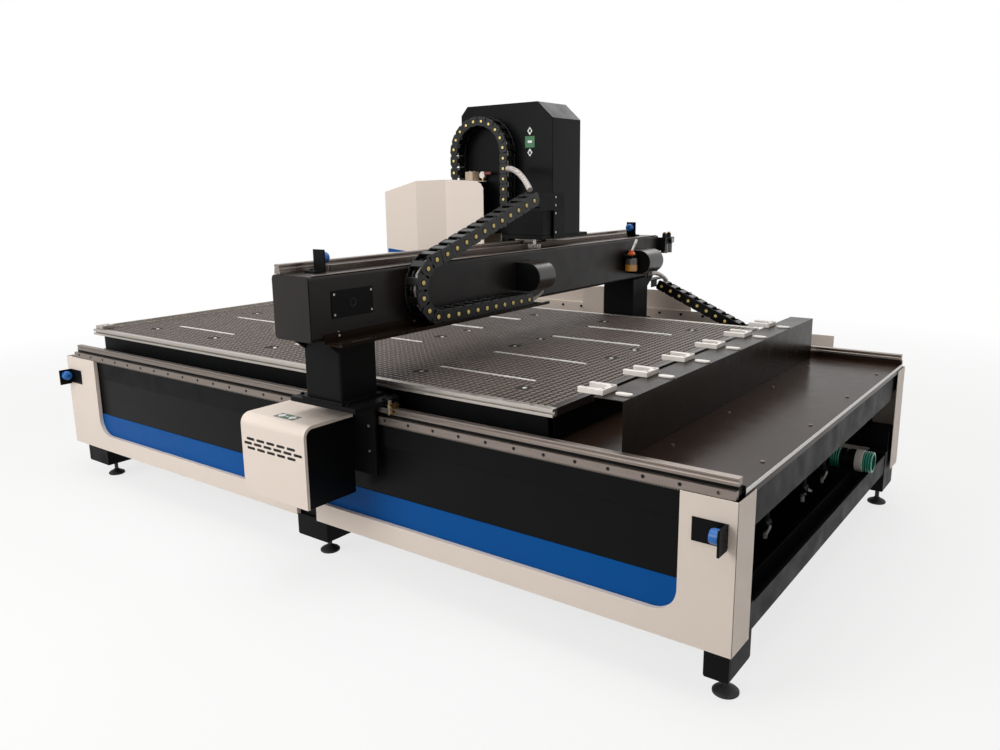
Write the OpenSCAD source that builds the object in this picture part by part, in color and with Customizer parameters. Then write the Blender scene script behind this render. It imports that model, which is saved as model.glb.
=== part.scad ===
// Gantry machining centre with a moving bridge, vacuum table and rear tool rack.
// Millimetres, Z up, X across the table, Y along it. The operator stands at -Y.

/* [Bed] */
// Half width of the bed over its side covers
bed_half_w = 1131; // [1127:1:1133]
// Half length of the bed over its end posts
bed_half_l = 1976; // [1970:1:2100]
// Height of the lower edge of the side covers
cover_low = 195; // [185:1:198]
// Height of the upper edge of the side covers
cover_top = 702; // [690:1:712]
// Height of the window sill in the side covers
sill_z = 283; // [260:1:290]
// Height of the upper edge of the blue panel
blue_top = 398; // [380:1:420]

/* [Table] */
// Half width of the table over its edge strips
table_half_w = 1024; // [1000:1:1028]
// Front end of the table
table_front = -1852; // [-1860:1:-1840]
// Rear end of the table
table_rear = 1256; // [1240:1:1270]
// Height of the table surface
table_z = 850; // [840:1:856]

/* [Gantry] */
// Half length of the bridge beam
beam_half_l = 1408; // [1404:1:1408]
// Height of the underside of the beam
beam_low = 1063; // [1060:1:1066]
// Height of the top of the beam
beam_top = 1306; // [1300:1:1308]
// Front face of the beam
beam_front = 255; // [250:1:256]
// Rear face of the beam
beam_rear = 461; // [456:1:470]
// Pitch of the large cable chains
chain_pitch = 67.8; // [66:0.1:69]

/* [Head] */
// Place of the head along the beam
head_x = -327; // [-340:1:-320]
// Place of the spindle axis along the table
spindle_y = 30; // [26:1:34]
// Half width of the tall head cover
tower_half_w = 131.5; // [130:0.5:133]
// Height of the tall head cover
tower_top = 2028; // [2020:1:2100]
// Radius of the bore in the collet
collet_r = 6; // [3:0.5:10]

/* [Hidden] */
$fn = 48;
bed_x = 106;            // the bed's middle lies here, because the chain trough widens one side
sheet = 3;
rail_w = 28;
rail_h = 26;
rail_out = 1107;        // outer side of the Y rails, the rail pads and the side beams
rail_base = 741.5;
rail_y0 = -1889;
rail_y1 = 1964;
deck = 716;             // top of the welded frame
panel_out = 1105;       // outer side of the black side panels
rear_post = 1789;       // inner edge of the rear posts
front_post = -1686;     // inner edge of the front posts
gap_rear = 98;          // the side covers leave the middle leg free between these two
gap_front = -30;
leg_out = 1110;
leg_w = 191;
leg_low = 97;
LEG_Y = [[-1887, -1686], [-54, 138], [1878, 1963]];
SIDES = [-1, 1];

gear_m = 3;             // module of the racks and pinions
gear_n = 20;
gear_r = gear_m * gear_n / 2;
rack_tip = 698;         // the Y rack's teeth point down to this height
pinion_y = 262;
pinion_z = rack_tip + gear_m - gear_r;
rack_x_tip = 352;       // the X rack's teeth point back to this place
pinion_x = -152;
pinion_x_y = rack_x_tip - gear_m + gear_r;

plate_in = 1135;        // the drive side plate
plate_t = 12;
slab_z = 783;
slab_t = 20;
leg_z = slab_z + slab_t;
drive_y0 = -8;
drive_y1 = 378;
drive_z0 = 395;
drive_z1 = 729;
drive_out = 1404;

shelf_z = 1049;
chain_y = 512.5;        // middle of the X chain's width
chain_w = 75;
link_h = 62;
bend_r = 122;
x_low_z = 1086;
x_bend = 771;
x_fixed = 142;
main_y = 1740;
outlet_x = -600;
outlet_z = 340;
trough_in = 1440;
trough_out = 1600;
trough_z = 380;
y_chain_x = -1507;
y_low_z = trough_z + sheet + link_h / 2 + 1;
y_bend = 1250;
y_fixed = 30;
z_pitch = 51;
z_link_h = 46;
z_bend_r = 162;
z_bend_y = 55;
z_bend_z = 1782;
z_chain_x = -148;
z_chain_w = 76;

arm_z = 1352;
arm_t = 20;
arm_in = -544;
arm_out = -110;
tower_front = -117;
tower_rear = 461;
column_front = 188;
screw_y = 167;
hood_z0 = 1200;
hood_z1 = 1655;

FORK_X = [957, 632, 307, -18, -343, -668];
SLOT_X = [687, 293, -214, -573];
SLOT_Y = [-1516, -510, 455];
PORT_X = [805, 120, -105, -766];
PORT_Y = [-1556, -1016, -525, -20, 448, 985];

cover_c = "#E8DCD2";
black_c = "#1A1D1F";
blue_c = "#0A4F9E";
steel_c = "#8C8782";
alu_c = "#C9C4BE";
table_c = "#5C5350";
chain_c = "#111111";

// ---- shared shapes -------------------------------------------------------------------------

// Everything is drawn about the bed's middle, then set in the part's own frame.
module place() { translate([bed_x, 0, 0]) children(); }

// A box given by its lowest and highest corners.
module block(low, high) { translate(low) cube(high - low); }

// The same piece on both sides of the bed.
module both_sides() {
    children();
    mirror([1, 0, 0]) children();
}

// A rectangular tube along Y, open at both ends.
module tube_y(low, high, wall) {
    difference() {
        block(low, high);
        block(low + [wall, -1, wall], high - [wall, -1, wall]);
    }
}

// A rectangular tube along X, open at both ends.
module tube_x(low, high, wall) {
    difference() {
        block(low, high);
        block(low + [-1, wall, wall], high - [-1, wall, wall]);
    }
}

// A cylinder along X from x0 to x1.
module rod_x(x0, x1, y, z, r) {
    translate([x0, y, z]) rotate([0, 90, 0]) cylinder(h = x1 - x0, r = r);
}

// A cylinder along Y from y0 to y1.
module rod_y(y0, y1, x, z, r) {
    translate([x, y1, z]) rotate([90, 0, 0]) cylinder(h = y1 - y0, r = r);
}

// A rectangle with round corners, about its middle.
module round_rect(w, h, r) {
    union() {
        square([w - 2 * r, h], center = true);
        square([w, h - 2 * r], center = true);
        for (sx = SIDES, sy = SIDES) translate([sx * (w / 2 - r), sy * (h / 2 - r)]) circle(r);
    }
}

// ---- cable chains --------------------------------------------------------------------------

// One chain link about its middle: it runs along X, its pins lie along Y.
module link(pitch, high, wide) {
    cheek = 7;
    cap_r = high * 0.13;
    for (s = SIDES) translate([0, s * (wide - cheek) / 2, 0]) {
        rotate([90, 0, 0]) linear_extrude(cheek, center = true) round_rect(pitch - 1.2, high, high * 0.2);
        translate([0, s * cheek / 2, 0]) rotate([90, 0, 0]) cylinder(h = 4, r = cap_r, center = true);
    }
    for (s = SIDES) translate([0, 0, s * (high / 2 - 4)]) cube([pitch * 0.42, wide - cheek, 6], center = true);
}

// A straight run of n links from one point towards another, both [along, up].
module link_run(from, to, n, pitch, high, wide) {
    step = (to - from) / n;
    slope = atan2(step[1], step[0]);
    for (i = [0 : n - 1])
        translate([from[0] + step[0] * (i + 0.5), 0, from[1] + step[1] * (i + 0.5)])
            rotate([0, -slope, 0]) link(pitch, high, wide);
}

// The links of a half turn about [along, up], bulging towards +X, each in its own wedge.
module link_bend(centre, r, n, pitch, high, wide) {
    inner = (r - high) * tan(90 / n) - 0.3;
    outer = (r + high) * tan(90 / n) - 0.3;
    for (i = [0 : n - 1]) {
        a = -90 + 180 * (i + 0.5) / n;
        translate([centre[0] + r * cos(a), 0, centre[1] + r * sin(a)]) rotate([0, -(a + 90), 0])
            intersection() {
                link(pitch, high, wide);
                rotate([90, 0, 0]) linear_extrude(wide + 20, center = true)
                    polygon([[-outer, -high], [outer, -high], [inner, high], [-inner, high]]);
            }
    }
}

// ---- gears ---------------------------------------------------------------------------------

// Half the thickness of a tooth at a radius, in degrees, for an involute with a 20 degree flank.
function inv(a) = tan(a) * 180 / PI - a;
function half_tooth(r, rp, n) =
    let (base = rp * cos(20), a = r > base ? acos(base / r) : 0)
    90 / n + inv(20) - inv(a) - 1.1;
function ring(r, a) = [r * cos(a), r * sin(a)];

// A pinion's outline about its axis, with a tooth space facing +X.
module pinion_2d(m, n) {
    rp = m * n / 2;
    rr = rp - 1.25 * m;
    radii = [rp - m * 0.9, rp - m * 0.3, rp + m * 0.35, rp + m * 0.95];
    points = [for (i = [0 : n - 1]) let (c = (i + 0.5) * 360 / n) each concat(
        [ring(rr, c - 90 / n - 3.2)],
        [for (r = radii) ring(r, c - half_tooth(r, rp, n))],
        [for (k = [3 : -1 : 0]) ring(radii[k], c + half_tooth(radii[k], rp, n))],
        [ring(rr, c + 90 / n + 3.2)])];
    polygon(points);
}

// A rack's outline: it runs along X, its teeth point to -Y with their tips at 0.
module rack_2d(x0, x1, m, tall, tooth_at) {
    p = PI * m;
    first = ceil((x0 + m * 2 - tooth_at) / p);
    last = floor((x1 - m * 2 - tooth_at) / p);
    tip = p / 4 - m * tan(20) - 0.12;
    root = p / 4 + 1.2 * m * tan(20) - 0.12;
    polygon(concat([[x0, tall], [x0, 2.2 * m]],
        [for (i = [first : last]) let (c = tooth_at + i * p)
            each [[c - root, 2.2 * m], [c - tip, 0], [c + tip, 0], [c + root, 2.2 * m]]],
        [[x1, 2.2 * m], [x1, tall]]));
}

// ---- bed -----------------------------------------------------------------------------------

module levelling_foot() {
    rotate_extrude() polygon([[0, 0], [44, 0], [44, 8], [36, 15], [16, 26], [10, 28], [10, 140], [0, 140]]);
    translate([0, 0, 78]) cylinder(h = 19, r = 17, $fn = 6);
}

module levelling_feet() {
    color(black_c) place() for (y = LEG_Y) both_sides()
        translate([leg_out - leg_w / 2, (y[0] + y[1]) / 2, 0]) levelling_foot();
}

module leg(y) {
    wall = 8;
    difference() {
        block([leg_out - leg_w, y[0], leg_low], [leg_out - 12, y[1], 299]);
        block([leg_out - leg_w + wall, y[0] + wall, leg_low + 14], [leg_out - 12 - wall, y[1] - wall, 300]);
        translate([leg_out - leg_w / 2, (y[0] + y[1]) / 2, 0]) cylinder(h = 200, r = 10.4);
    }
    block([leg_out - 11.5, y[0], leg_low], [leg_out, y[1], 194]);
}

module legs() { color(black_c) place() both_sides() for (y = LEG_Y) leg(y); }

module side_beams() {
    color(black_c) place() both_sides() {
        tube_y([960, rail_y0 - 40, 600], [rail_out, 1962, deck - 0.2], 8);
        block([rail_out - 34, rail_y0, deck - 0.2], [rail_out, rail_y1, rail_base]);
        tube_y([960, rail_y0 - 40, 300], [1098, 1962, 400], 8);
    }
}

// The rear members are channels, the others are tubes.
module cross_beams() {
    reach = 959;
    between = leg_out - leg_w - 0.3;
    color(black_c) place() {
        for (y = [-1929, -1240, -560, 2, 640, 1290])
            tube_x([-reach, y, 600], [reach, y + 80, deck], 8);
        difference() {
            block([-reach, 1880, 562], [reach, 1960, deck]);
            block([-reach - 1, 1888, 570], [reach + 1, 1952, 708]);
        }
        difference() {
            block([-between, 1880, 190], [between, 1960, 287]);
            block([-reach, 1888, 198], [reach, 1952, 288]);
        }
        for (y = [-1929, 2]) tube_x([-reach, y, 300], [reach, y + 80, 380], 8);
    }
}

// Sheets that close the sides, and a folded sheet that closes the rear bay behind and below.
module side_panels() {
    between = leg_out - leg_w - 0.3;
    color(black_c) place() {
        both_sides() block([panel_out - 4, front_post - 60, 300], [panel_out, rear_post + 60, 599]);
        block([-between, 1560, 190], [between, 1563, deck - 0.3]);
        block([-between, 1560, 190], [between, 1879.7, 193]);
    }
}

module blue_panels() {
    color(blue_c) place() both_sides() {
        block([panel_out + 0.2, gap_rear + 4, sill_z - 20], [panel_out + 2.2, rear_post + 60, blue_top]);
        block([panel_out + 0.2, front_post - 60, sill_z - 20], [panel_out + 2.2, gap_front - 4, blue_top]);
    }
}

// The outline of a rear side cover in the YZ plane, grown inwards by t along its free edges.
module cover_2d(gap, post, end, t) {
    r = 90;
    flip = end > gap ? 1 : -1;
    edge = post - flip * t;
    low = sill_z + t;
    difference() {
        translate([min(gap, end), cover_low]) square([abs(end - gap), cover_top - cover_low]);
        translate([flip > 0 ? gap - 1 : edge + r, low]) square([abs(edge - gap) + 1 - r, 900]);
        translate([flip > 0 ? gap - 1 : edge, low + r]) square([abs(edge - gap) + 1, 900]);
        translate([edge - flip * r, low + r]) circle(r);
    }
}

// A pressed cover: a flat face, a lip round the window and a return over the end of the bed.
module side_cover(gap, post, end) {
    lip = 22;
    flip = end > gap ? 1 : -1;
    translate([bed_half_w, 0, 0]) rotate([90, 0, 90]) {
        translate([0, 0, -sheet]) linear_extrude(sheet) cover_2d(gap, post, end, 0);
        translate([0, 0, -lip]) linear_extrude(lip) difference() {
            cover_2d(gap, post, end, 0);
            cover_2d(gap, post, end, -sheet);
            translate([min(gap, end), rack_tip - 0.6]) square([abs(end - gap), 99]);
        }
    }
    y = [end - flip * sheet, end];
    block([bed_half_w - 147, min(y), cover_low], [bed_half_w, max(y), cover_top]);
}

module side_covers() {
    color(cover_c) place() both_sides() {
        side_cover(gap_rear, rear_post, bed_half_l);
        side_cover(gap_front, front_post, -bed_half_l);
    }
}

// ---- table ---------------------------------------------------------------------------------

module table_bearers() {
    low = deck + 0.3;
    high = table_z - 30;
    color(black_c) place() {
        both_sides() tube_y([900, table_front + 40, low], [985, table_rear - 46, high], 6);
        for (y = [-1800, -1200, -600, 0, 600, 1130])
            tube_x([-899, y, low], [899, y + 80, high], 6);
    }
}

module vacuum_board() {
    edge = 30;
    color(table_c) place() difference() {
        block([edge - table_half_w, table_front + edge, table_z - 29.8],
            [table_half_w - edge, table_rear - edge, table_z]);
        for (x = SLOT_X, y = SLOT_Y) block([x - 9, y, table_z - 12], [x + 9, y + 500, table_z + 1]);
        for (x = PORT_X, y = PORT_Y) translate([x, y, table_z - 8]) cylinder(h = 9, r = 16);
    }
}

module table_trims() {
    t = 29.8;
    z0 = table_z - 29.8;
    color(alu_c) place() {
        both_sides() block([table_half_w - t, table_front, z0], [table_half_w, table_rear, table_z + 1.5]);
        for (y = [table_front, table_rear - t])
            block([t - table_half_w + 0.2, y, z0], [table_half_w - t - 0.2, y + t, table_z + 1.5]);
        // raised stop bar along the front edge, with its end block
        block([14 - table_half_w, table_front, table_z + 1.8], [930, table_front + 14, table_z + 16]);
        block([934, table_front, table_z + 1.8], [1008, table_front + 70, table_z + 20]);
    }
}

module t_slot_rails() {
    color(alu_c) place() for (x = SLOT_X, y = SLOT_Y) difference() {
        block([x - 8.8, y + 0.2, table_z - 11.8], [x + 8.8, y + 499.8, table_z + 0.8]);
        block([x - 3, y - 1, table_z - 8], [x + 3, y + 501, table_z + 1]);
        block([x - 6, y - 1, table_z - 9], [x + 6, y + 501, table_z - 4]);
    }
}

// ---- rear of the bed -----------------------------------------------------------------------

module rear_tray() {
    half = rail_out - 36;
    color("#2A2624") place() difference() {
        union() {
            block([-half, table_rear - 26, deck], [half, 1972, deck + sheet]);
            block([-half, 1969, deck - 26], [half, 1972, deck + 9]);
            both_sides() block([half - sheet, table_rear + 20, deck], [half, 1972, deck + 20]);
        }
        for (x = [-780, -260, 260, 780]) translate([x, 1920, deck - 5]) cylinder(h = 30, r = 4);
    }
}

// One folded sheet: a foot on the tray, an upright face and a flange towards the table.
module rear_apron() {
    half = 1030;
    z0 = deck + sheet + 0.3;
    color(black_c) place() {
        block([-half, 1533, z0], [half, 1536, 923]);
        block([-half, 1421, 920], [half, 1536, 923]);
        block([-half, 1421, 905], [half, 1424, 921]);
        block([-half, 1500, z0], [half, 1534, z0 + sheet]);
    }
}

// A white two-prong fork that grips a tool holder's groove, and the strip behind it.
module tool_fork(x) {
    z0 = 923.2;
    tall = 22;
    difference() {
        union() {
            block([x - 42, 1418, z0], [x + 42, 1462, z0 + tall]);
            for (s = SIDES) {
                block([x + s * 42 - 10, 1345, z0], [x + s * 42 + 10, 1462, z0 + tall]);
                translate([x + s * 42, 1345, z0]) cylinder(h = tall, r = 10);
            }
        }
        translate([x, 1398, z0 - 1]) cylinder(h = tall + 2, r = 31);
        for (s = SIDES) translate([x + s * 30, 1450, z0 - 1]) cylinder(h = tall + 2, r = 3.3);
    }
    block([x - 12, 1465, z0], [x + 12, 1532, z0 + 8]);
}

module tool_forks() { color("#F4F0EA") place() for (x = FORK_X) tool_fork(x); }

module y_rails() {
    color(steel_c) place() both_sides() difference() {
        block([rail_out - rail_w, rail_y0, rail_base + 0.1], [rail_out, rail_y1, rail_base + rail_h]);
        for (s = [-rail_w - 1, -4]) block([rail_out + s, rail_y0 - 1, rail_base + 11],
            [rail_out + s + 5, rail_y1 + 1, rail_base + 17]);
    }
}

module y_rack() {
    x0 = rail_out + 0.2;
    difference() {
        translate([x0, 0, rack_tip]) rotate([90, 0, 90]) linear_extrude(20)
            rack_2d(rail_y0, rail_y1, gear_m, 34, pinion_y);
        for (i = [0 : 30]) rod_x(x0 + 12, x0 + 21, rail_y0 + 50 + i * 125, rack_tip + 21, 6.5);
    }
}

module y_racks() { color(steel_c) place() both_sides() y_rack(); }

// An upright plate with a round buffer on its -Y side, bored for its screw.
module buffer(pad_r, pad_l, wide, tall) {
    block([-wide / 2, 0, 0], [wide / 2, 8, tall]);
    difference() {
        rod_y(-pad_l, 0, 0, tall * 0.62, pad_r);
        rod_y(-pad_l - 1, -pad_l + 10, 0, tall * 0.62, 5);
    }
}

module bed_bumper() {
    x = bed_half_w + 0.3;
    y = 1940;
    block([x, y - 108, 551], [x + 3.2, y + 8, 629]);
    translate([x + 36, y, 545]) buffer(25, 35, 64, 84);
}

module bed_bumpers() {
    color(black_c) place() both_sides() {
        bed_bumper();
        mirror([0, 1, 0]) bed_bumper();
    }
}

// Suction main with three branch valves, under the tray.
module vacuum_manifold() {
    z = 470;
    color("#33393A") place() {
        difference() {
            union() {
                rod_x(outlet_x, 700, main_y, z, 40);
                translate([outlet_x, main_y, outlet_z - 44]) cylinder(h = z - outlet_z + 92, r = 46);
                rod_y(main_y, main_y + 50, outlet_x, outlet_z, 40);
                for (x = [-490, -195, 282]) {
                    rod_y(main_y, main_y + 55, x, z, 16);
                    translate([x, main_y + 40, 290]) cylinder(h = z - 290, r = 13);
                    rod_x(x - 24, x + 24, main_y + 40, 296, 18);
                }
            }
            rod_x(outlet_x, 640, main_y, z, 35);
            translate([outlet_x, main_y, outlet_z - 39]) cylinder(h = z - outlet_z + 82, r = 41);
            rod_y(main_y, main_y + 51, outlet_x, outlet_z, 35);
        }
        for (x = [-500, 500]) block([x - 20, main_y - 46, z + 20], [x + 20, main_y + 46, deck - 0.3]);
    }
}

// Spiral suction hose with its coupling and collar, leaving by the rear beside the far leg.
module vacuum_hose() {
    y = main_y + 50.3;
    color("#2E7A6A") place() difference() {
        union() {
            rod_y(y, 1976, outlet_x, outlet_z, 44);
            rod_y(1835, 1901, outlet_x, outlet_z, 49);
            rod_y(1900, 1935, outlet_x, outlet_z, 52);
            for (i = [0 : 3]) rod_y(1940 + i * 9, 1945 + i * 9, outlet_x, outlet_z, 50);
            for (i = [0 : 3]) rod_y(1794 + i * 9, 1799 + i * 9, outlet_x, outlet_z, 50);
        }
        rod_y(y - 1, 1977, outlet_x, outlet_z, 37);
    }
}

// Sheet trough for the long cable chain, with a stepped outer wall, on three arms.
module chain_trough() {
    y0 = -1500;
    y1 = 1500;
    step_z = 815;
    out = trough_out + 20;
    color(cover_c) place() {
        difference() {
            union() {
                block([-trough_out, y0, trough_z], [-trough_in, y1, trough_z + sheet]);
                block([-trough_in - sheet, y0, trough_z], [-trough_in, y1, 560]);
                block([-trough_out - sheet, y0, trough_z], [-trough_out, 870, step_z]);
                block([-trough_out - sheet, 869, trough_z], [-trough_out, y1, 740]);
                block([-out, y0, step_z - sheet], [-trough_out, 600, step_z]);
                block([-out, y0, step_z - sheet], [-out + sheet, 600, 936]);
            }
            for (i = [0 : 15]) rod_x(-trough_out - 5, -trough_out + 5, y0 + 90 + i * 150, 790, 9);
        }
        for (y = [-1300, 34, 1300]) tube_x([-trough_out, y - 30, 330], [-1107.5, y + 30, trough_z + 0.1], 4);
        // cable box on the inner wall, with a bevelled top
        translate([-trough_in - 2.9, 0, 0]) rotate([90, 0, 90]) linear_extrude(30.9)
            polygon([[-85, 500], [72, 500], [72, 962], [-50, 950], [-85, 920]]);
    }
}

// ---- Y chain: it runs in a plane of constant X, with along = Y -------------------------------

module y_chain_plane() { translate([y_chain_x, 0, 0]) rotate([0, 0, 90]) children(); }

module y_chain_lower() {
    color(chain_c) place() y_chain_plane()
        link_run([y_fixed, y_low_z], [y_bend, y_low_z], 18, chain_pitch, link_h, chain_w);
}

module y_chain_bend() {
    color(chain_c) place() y_chain_plane()
        link_bend([y_bend, y_low_z + bend_r], bend_r, 6, chain_pitch * 0.94, link_h, chain_w);
}

// The upper run droops from the gantry bracket down to the bend.
module y_chain_upper() {
    top = y_low_z + 2 * bend_r;
    color(chain_c) place() y_chain_plane() {
        link_run([430, 994], [980, 752], 9, chain_pitch * 0.98, link_h, chain_w);
        link_run([984, 750], [1246, top], 4, chain_pitch, link_h, chain_w);
    }
}

// ---- gantry --------------------------------------------------------------------------------

// Slab on the slider blocks, box leg, foot flange, gussets and the plate that holds the drive.
module gantry_leg() {
    x0 = 1082;
    x1 = 1277;
    block([1045, 175, slab_z], [1290, 545, leg_z]);
    block([1065, 246, leg_z - 1], [1289, 474, leg_z + 12]);
    difference() {
        block([x0, beam_front + 3, leg_z], [x1, beam_rear, beam_low]);
        block([x0 + 10, beam_front + 13, leg_z + 12], [x1 - 10, beam_rear - 10, beam_low + 1]);
    }
    for (y = [beam_front + 4, beam_rear - 14]) translate([0, y + 12, 0]) rotate([90, 0, 0])
        linear_extrude(12) polygon([[x1 - 1, beam_low], [1352, beam_low], [x1 - 1, 1005]]);
    difference() {
        block([plate_in, 225, 487], [plate_in + plate_t, 500, slab_z + 1]);
        rod_x(plate_in - 1, plate_in + plate_t + 1, pinion_y, pinion_z, 45);
        for (z = [587, 692]) rod_x(plate_in + 4, plate_in + plate_t + 1, 467, z, 5);
    }
}

// Both legs, and the arm that carries the long chain's moving end.
module gantry_legs() {
    color(black_c) place() {
        both_sides() gantry_leg();
        block([y_chain_x - 38, 385, 1026], [-1276, 445, 1032]);
        block([y_chain_x - 38, 385, 970], [y_chain_x + 38, 391, 1027]);
    }
}

module y_slider_blocks() {
    color(steel_c) place() both_sides() for (y = [165, 455]) difference() {
        block([rail_out - 44, y, slab_z - 34.3], [rail_out + 16, y + 100, slab_z - 0.3]);
        block([rail_out - rail_w - 0.4, y - 1, 700], [rail_out + 0.4, y + 101, rail_base + rail_h + 0.4]);
    }
}

// White cover bent over the drive: a top, a round outer edge and a slotted face.
module drive_cover() {
    r = 45;
    x0 = plate_in + plate_t + 0.5;
    deep = drive_out - x0;
    tall = drive_z1 - drive_z0;
    len = drive_y1 - drive_y0 - 8;
    slot_w = 34;
    difference() {
        translate([x0, drive_y1 - 4, drive_z0]) rotate([90, 0, 0]) linear_extrude(len) difference() {
            union() {
                square([deep, tall - r]);
                square([deep - r, tall]);
                translate([deep - r, tall - r]) circle(r);
            }
            translate([-1, -1]) square([deep - sheet + 1, tall - r + 1]);
            translate([-1, -1]) square([deep - r + 1, tall - sheet + 1]);
            translate([deep - r, tall - r]) circle(r - sheet);
        }
        for (row = [0 : 2], i = [0 : (row == 1 ? 5 : 4)])
            block([drive_out - 9, drive_y0 + 45 + i * 60 - (row == 1 ? 20 : 0), 640 - row * 24],
                [drive_out + 1, drive_y0 + 45 + i * 60 - (row == 1 ? 20 : 0) + slot_w + 8, 649 - row * 24]);
    }
}

module drive_covers() { color(cover_c) place() both_sides() drive_cover(); }

module drive_cap() {
    r = 45;
    x0 = plate_in + plate_t + 0.5;
    deep = drive_out - x0;
    tall = drive_z1 - drive_z0;
    rotate([90, 0, 0]) linear_extrude(3.6) union() {
        translate([x0, drive_z0]) square([deep, tall - r]);
        translate([x0, drive_z0]) square([deep - r, tall]);
        translate([x0 + deep - r, drive_z0 + tall - r]) circle(r);
    }
}

module drive_end_caps() {
    color(black_c) place() both_sides() for (y = [drive_y0 + 3.6, drive_y1]) translate([0, y, 0]) drive_cap();
}

// Planetary reducer and servo motor, bolted to the outside of the drive plate.
module y_motor() {
    x0 = plate_in + plate_t + 0.2;
    difference() {
        union() {
            translate([x0, pinion_y, pinion_z]) rotate([0, 90, 0]) linear_extrude(10) round_rect(104, 104, 12);
            rod_x(x0 + 9, x0 + 96, pinion_y, pinion_z, 45);
            translate([x0 + 95, pinion_y, pinion_z]) rotate([0, 90, 0]) linear_extrude(140) round_rect(86, 86, 10);
        }
        rod_x(x0 - 1, x0 + 40, pinion_y, pinion_z, 11.05);
    }
}

module y_motors() { color("#3A3D40") place() both_sides() y_motor(); }

module y_pinion() {
    difference() {
        union() {
            translate([rail_out + 1.5, pinion_y, pinion_z]) rotate([90, 0, 90]) linear_extrude(18)
                rotate([0, 0, 90]) pinion_2d(gear_m, gear_n);
            rod_x(rail_out + 19, plate_in + plate_t + 36, pinion_y, pinion_z, 11);
        }
        rod_x(rail_out, rail_out + 6, pinion_y, pinion_z, 6);
    }
}

// Left and right pinions share one axis across the machine.
module y_pinions() { color(steel_c) place() both_sides() y_pinion(); }

module beam_section(t) {
    translate([(beam_front + beam_rear) / 2, (beam_low + beam_top) / 2])
        round_rect(beam_rear - beam_front - 2 * t, beam_top - beam_low - 2 * t, 18 - t / 2);
}

module beam() {
    end = 12;
    color(black_c) place() difference() {
        translate([-beam_half_l, 0, 0]) rotate([90, 0, 90]) linear_extrude(2 * beam_half_l) beam_section(0);
        translate([end - beam_half_l, 0, 0]) rotate([90, 0, 90])
            linear_extrude(2 * (beam_half_l - end)) beam_section(9);
        for (x = [1197, -1197]) rod_y(beam_rear - 12, beam_rear + 1, x, 1193, 15);
        rod_x(-beam_half_l - 1, -beam_half_l + end + 1, 358, 1185, 28);
    }
}

// Small cover plate on the rear of the beam, with four corner screws.
module access_plate() {
    w = 214;
    h = 104;
    color(black_c) place() difference() {
        translate([1197, beam_rear + 3.3, 1193]) rotate([90, 0, 0]) linear_extrude(3) round_rect(w, h, 6);
        rod_y(beam_rear, beam_rear + 4, 1197, 1193, 11);
        for (sx = SIDES, sz = SIDES) rod_y(beam_rear, beam_rear + 4, 1197 + sx * 95, 1193 + sz * 38.5, 3.3);
    }
}

module x_rails() {
    l = beam_half_l - 16;
    color(steel_c) place() {
        block([-l, 258, beam_top + 0.2], [l, 286, beam_top + 10 + rail_h]);
        block([-l, beam_front - rail_h, 1082], [l, beam_front - 0.2, 1082 + rail_w]);
    }
}

// Rack for the cross travel, and the bright strip along the rear edge of the beam.
module x_rack() {
    l = 1205;
    z = beam_top + 0.2;
    color(steel_c) place() {
        translate([0, rack_x_tip, z]) rotate([0, 0, 180]) linear_extrude(22)
            rack_2d(-l, l, gear_m, 24, -pinion_x);
        block([28 - beam_half_l, 444, z], [beam_half_l - 28, 456, z + 3]);
    }
}

module rear_shelf() {
    x0 = -20;
    x1 = 1350;
    y1 = 560;
    color(black_c) place() difference() {
        union() {
            block([x0, beam_rear + 0.3, shelf_z], [x1, y1, shelf_z + sheet]);
            block([x0, y1 - sheet, shelf_z], [x1, y1, shelf_z + 14]);
            block([x0, beam_rear + 0.3, shelf_z], [x1, beam_rear + 3.3, shelf_z + 40]);
        }
        block([1150, 505, shelf_z - 1], [1260, 523, shelf_z + 5]);
        for (x = [60, 460, 860, 1276]) rod_y(beam_rear, beam_rear + 5, x, shelf_z + 30, 4);
    }
}

// Round covers over the places where the chain cables turn into the beam.
module cable_drums() {
    r = 68;
    color("#25282A") place() for (d = [[-20, 125, 1190], [-1200, -1020, 1172]]) difference() {
        union() {
            rod_x(d[0], d[1], beam_rear + r + 1, d[2], r);
            block([d[0], beam_rear + 0.3, d[2] - r], [d[1], beam_rear + r, d[2] + r]);
        }
        rod_x(d[0] + 4, d[1] - 4, beam_rear + r + 1, d[2], r - 4);
        rod_y(beam_rear - 1, beam_rear + 20, d[0] + 60, d[2], 20);
    }
}

lub = [-968, 505, 1124];

// Hand pump for the rail oil: bracket, clear reservoir, cap and pump neck.
module lubricator_pump() {
    color("#D9B24A") place() {
        block([lub[0] - 36, beam_rear + 0.3, lub[2] + 76], [lub[0] + 36, lub[1] + 20, lub[2] + 94]);
        translate([lub[0], lub[1], lub[2]]) cylinder(h = 76, r = 36);
        difference() {
            translate([lub[0], lub[1], lub[2] + 94]) cylinder(h = 26, r = 15);
            block([lub[0] - 16, lub[1] - 5.2, lub[2] + 101], [lub[0] + 16, lub[1] + 5.2, lub[2] + 121]);
            rod_y(lub[1] - 20, lub[1] + 20, lub[0], lub[2] + 110, 3.05);
        }
    }
}

// Pull lever with its pivot pin, leaning over towards the end of the beam.
module lubricator_lever() {
    color("#EDEAE4") place() {
        rod_y(lub[1] - 15, lub[1] + 15, lub[0], lub[2] + 110, 3);
        translate([lub[0], lub[1], lub[2] + 110]) rotate([0, -42, 0]) union() {
            translate([-5, -4.8, -4]) cube([10, 9.6, 62]);
            translate([0, 0, 56]) cylinder(h = 34, r = 8);
        }
    }
}

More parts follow.
